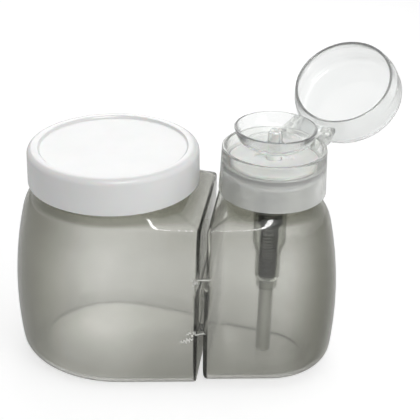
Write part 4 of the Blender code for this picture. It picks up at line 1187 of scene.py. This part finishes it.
def steel_material():
    # Painted shade: near black steel, standing for the shadow inside the pump's lower tube.
    paint = Paint("spring_steel_painted_shade")
    paint.set(metallic=1.0)
    cloud = paint.noise(900.0, 4.0, 0.6)
    paint.tint(cloud, (0.030, 0.031, 0.025), (0.018, 0.019, 0.015))
    paint.rough(cloud, 0.35, 0.5)
    paint.bump((cloud, 0.000008))
    return paint.material


def glass_material():
    paint = Paint("valve_ball_glass")
    paint.set(transmission_weight=1.0, ior=1.52)
    cloud = paint.noise(1500.0)
    paint.tint(cloud, (0.95, 0.98, 0.96), (0.90, 0.94, 0.92))
    paint.rough(cloud, 0.02, 0.06)
    paint.bump((cloud, 0.000003))
    return paint.material


# Studio

FLOOR_SIZE = 4.0
FLOOR_DROP = 0.0002                  # below the object's foot
FLOOR_GLOW = 0.64
FLOOR_SHADE = 0.58
FLOOR_BOUNCE = 0.80
WORLD_FILL = 0.46
KEY_WATTS = 0.6
BACK_WATTS = 0.4
SIDE_WATTS = 0.72
STRIP_WATTS = 1.1


def make_floor():
    shape = bmesh.new()
    bmesh.ops.create_grid(shape, x_segments=8, y_segments=8, size=FLOOR_SIZE / 2.0)
    floor = piece_from("studio_floor", shape)
    floor.location = (AXIS_SPACING / 2.0, 0.0, -FLOOR_DROP)
    paint = Paint("pale_floor")
    paint.set(specular_ior_level=0.0, roughness=0.8)
    seen = paint.seen_by("Is Camera Ray", "Is Transmission Ray")
    shade = paint.mix(seen, (FLOOR_BOUNCE,) * 3, (FLOOR_SHADE,) * 3)
    grain = paint.spread(paint.noise(40.0), 0.0, 0.03, 0.0, 1.0)
    paint.set(base_color=paint.mix(grain, shade, (0.7, 0.7, 0.7)))
    glow = paint.nodes.new("ShaderNodeEmission")
    paint.feed(glow, strength=paint.spread(seen, 0.0, FLOOR_GLOW, 0.0, 1.0))
    both = paint.nodes.new("ShaderNodeAddShader")
    paint.links.new(paint.shader.outputs["BSDF"], both.inputs[0])
    paint.links.new(glow.outputs["Emission"], both.inputs[1])
    paint.feed(paint.output, surface=both.outputs["Shader"])
    floor.data.materials.append(paint.material)


def make_world():
    world = bpy.data.worlds.new("studio")
    bpy.context.scene.world = world
    tree = Tree(world)
    seen = tree.seen_by("Is Camera Ray", "Is Glossy Ray", "Is Transmission Ray")
    tree.feed(tree.nodes["Background"], color=(1.0, 1.0, 1.0, 1.0),
              strength=tree.spread(seen, WORLD_FILL, 1.0, 0.0, 1.0))


def make_lamp(name, place, aim, size, watts, glossy_only=False, soft_only=False):
    data = bpy.data.lights.new(name, "AREA")
    data.shape = "RECTANGLE"
    data.size, data.size_y = size
    data.energy = watts
    lamp = add_object(name, data)
    lamp.location = place
    lamp.rotation_mode = "QUATERNION"
    lamp.rotation_quaternion = (Vector(aim) - Vector(place)).to_track_quat("-Z", "Y")
    lamp.visible_camera = False
    if glossy_only:
        lamp.visible_diffuse = False
        lamp.visible_transmission = False
    if soft_only:
        lamp.visible_glossy = False


def make_camera():
    data = bpy.data.cameras.new("camera")
    data.lens = FOCAL_LENGTH
    data.sensor_width = 36.0
    data.clip_start = 0.01
    camera = add_object("camera", data)
    forward = (Vector(TARGET) - Vector(EYE)).normalized()
    right = forward.cross(Vector((0.0, 0.0, 1.0))).normalized()
    up = right.cross(forward)
    turned_right = right * math.cos(ROLL) + up * math.sin(ROLL)
    turned_up = up * math.cos(ROLL) - right * math.sin(ROLL)
    turn = Matrix((turned_right, turned_up, -forward)).transposed().to_4x4()
    camera.matrix_world = Matrix.Translation(EYE) @ turn
    bpy.context.scene.camera = camera


def make_studio():
    make_floor()
    make_world()
    make_lamp("overhead_softbox", (0.10, 0.00, 0.62), (0.03, 0.0, 0.05), (0.50, 0.40), KEY_WATTS)
    make_lamp("side_softbox", (0.42, -0.30, 0.25), (0.03, 0.0, 0.06), (0.30, 0.30), SIDE_WATTS,
              soft_only=True)
    make_lamp("back_softbox", (-0.16, 0.50, 0.30), (0.02, 0.0, 0.07), (0.30, 0.18), BACK_WATTS)
    make_lamp("edge_strip", (0.15, -0.26, 0.52), (0.04, -0.027, 0.066), (0.24, 0.05), STRIP_WATTS,
              glossy_only=True)
    bpy.context.scene.view_settings.view_transform = "Standard"


make_scars(make_vessels())
make_lid()
make_liner()
make_collar()
make_guide_plate()
make_housing()
make_gasket()
make_dip_tube()
make_cage()
make_valve_ball("inlet_valve_ball", "inlet_ball", INLET_BALL, "inlet_valve")
make_valve_ball("outlet_valve_ball", "outlet_ball", OUTLET_BALL, "outlet_valve")
make_piston()
make_stem()
make_dish()
make_spring()
make_flip_cap()
make_studio()
make_camera()
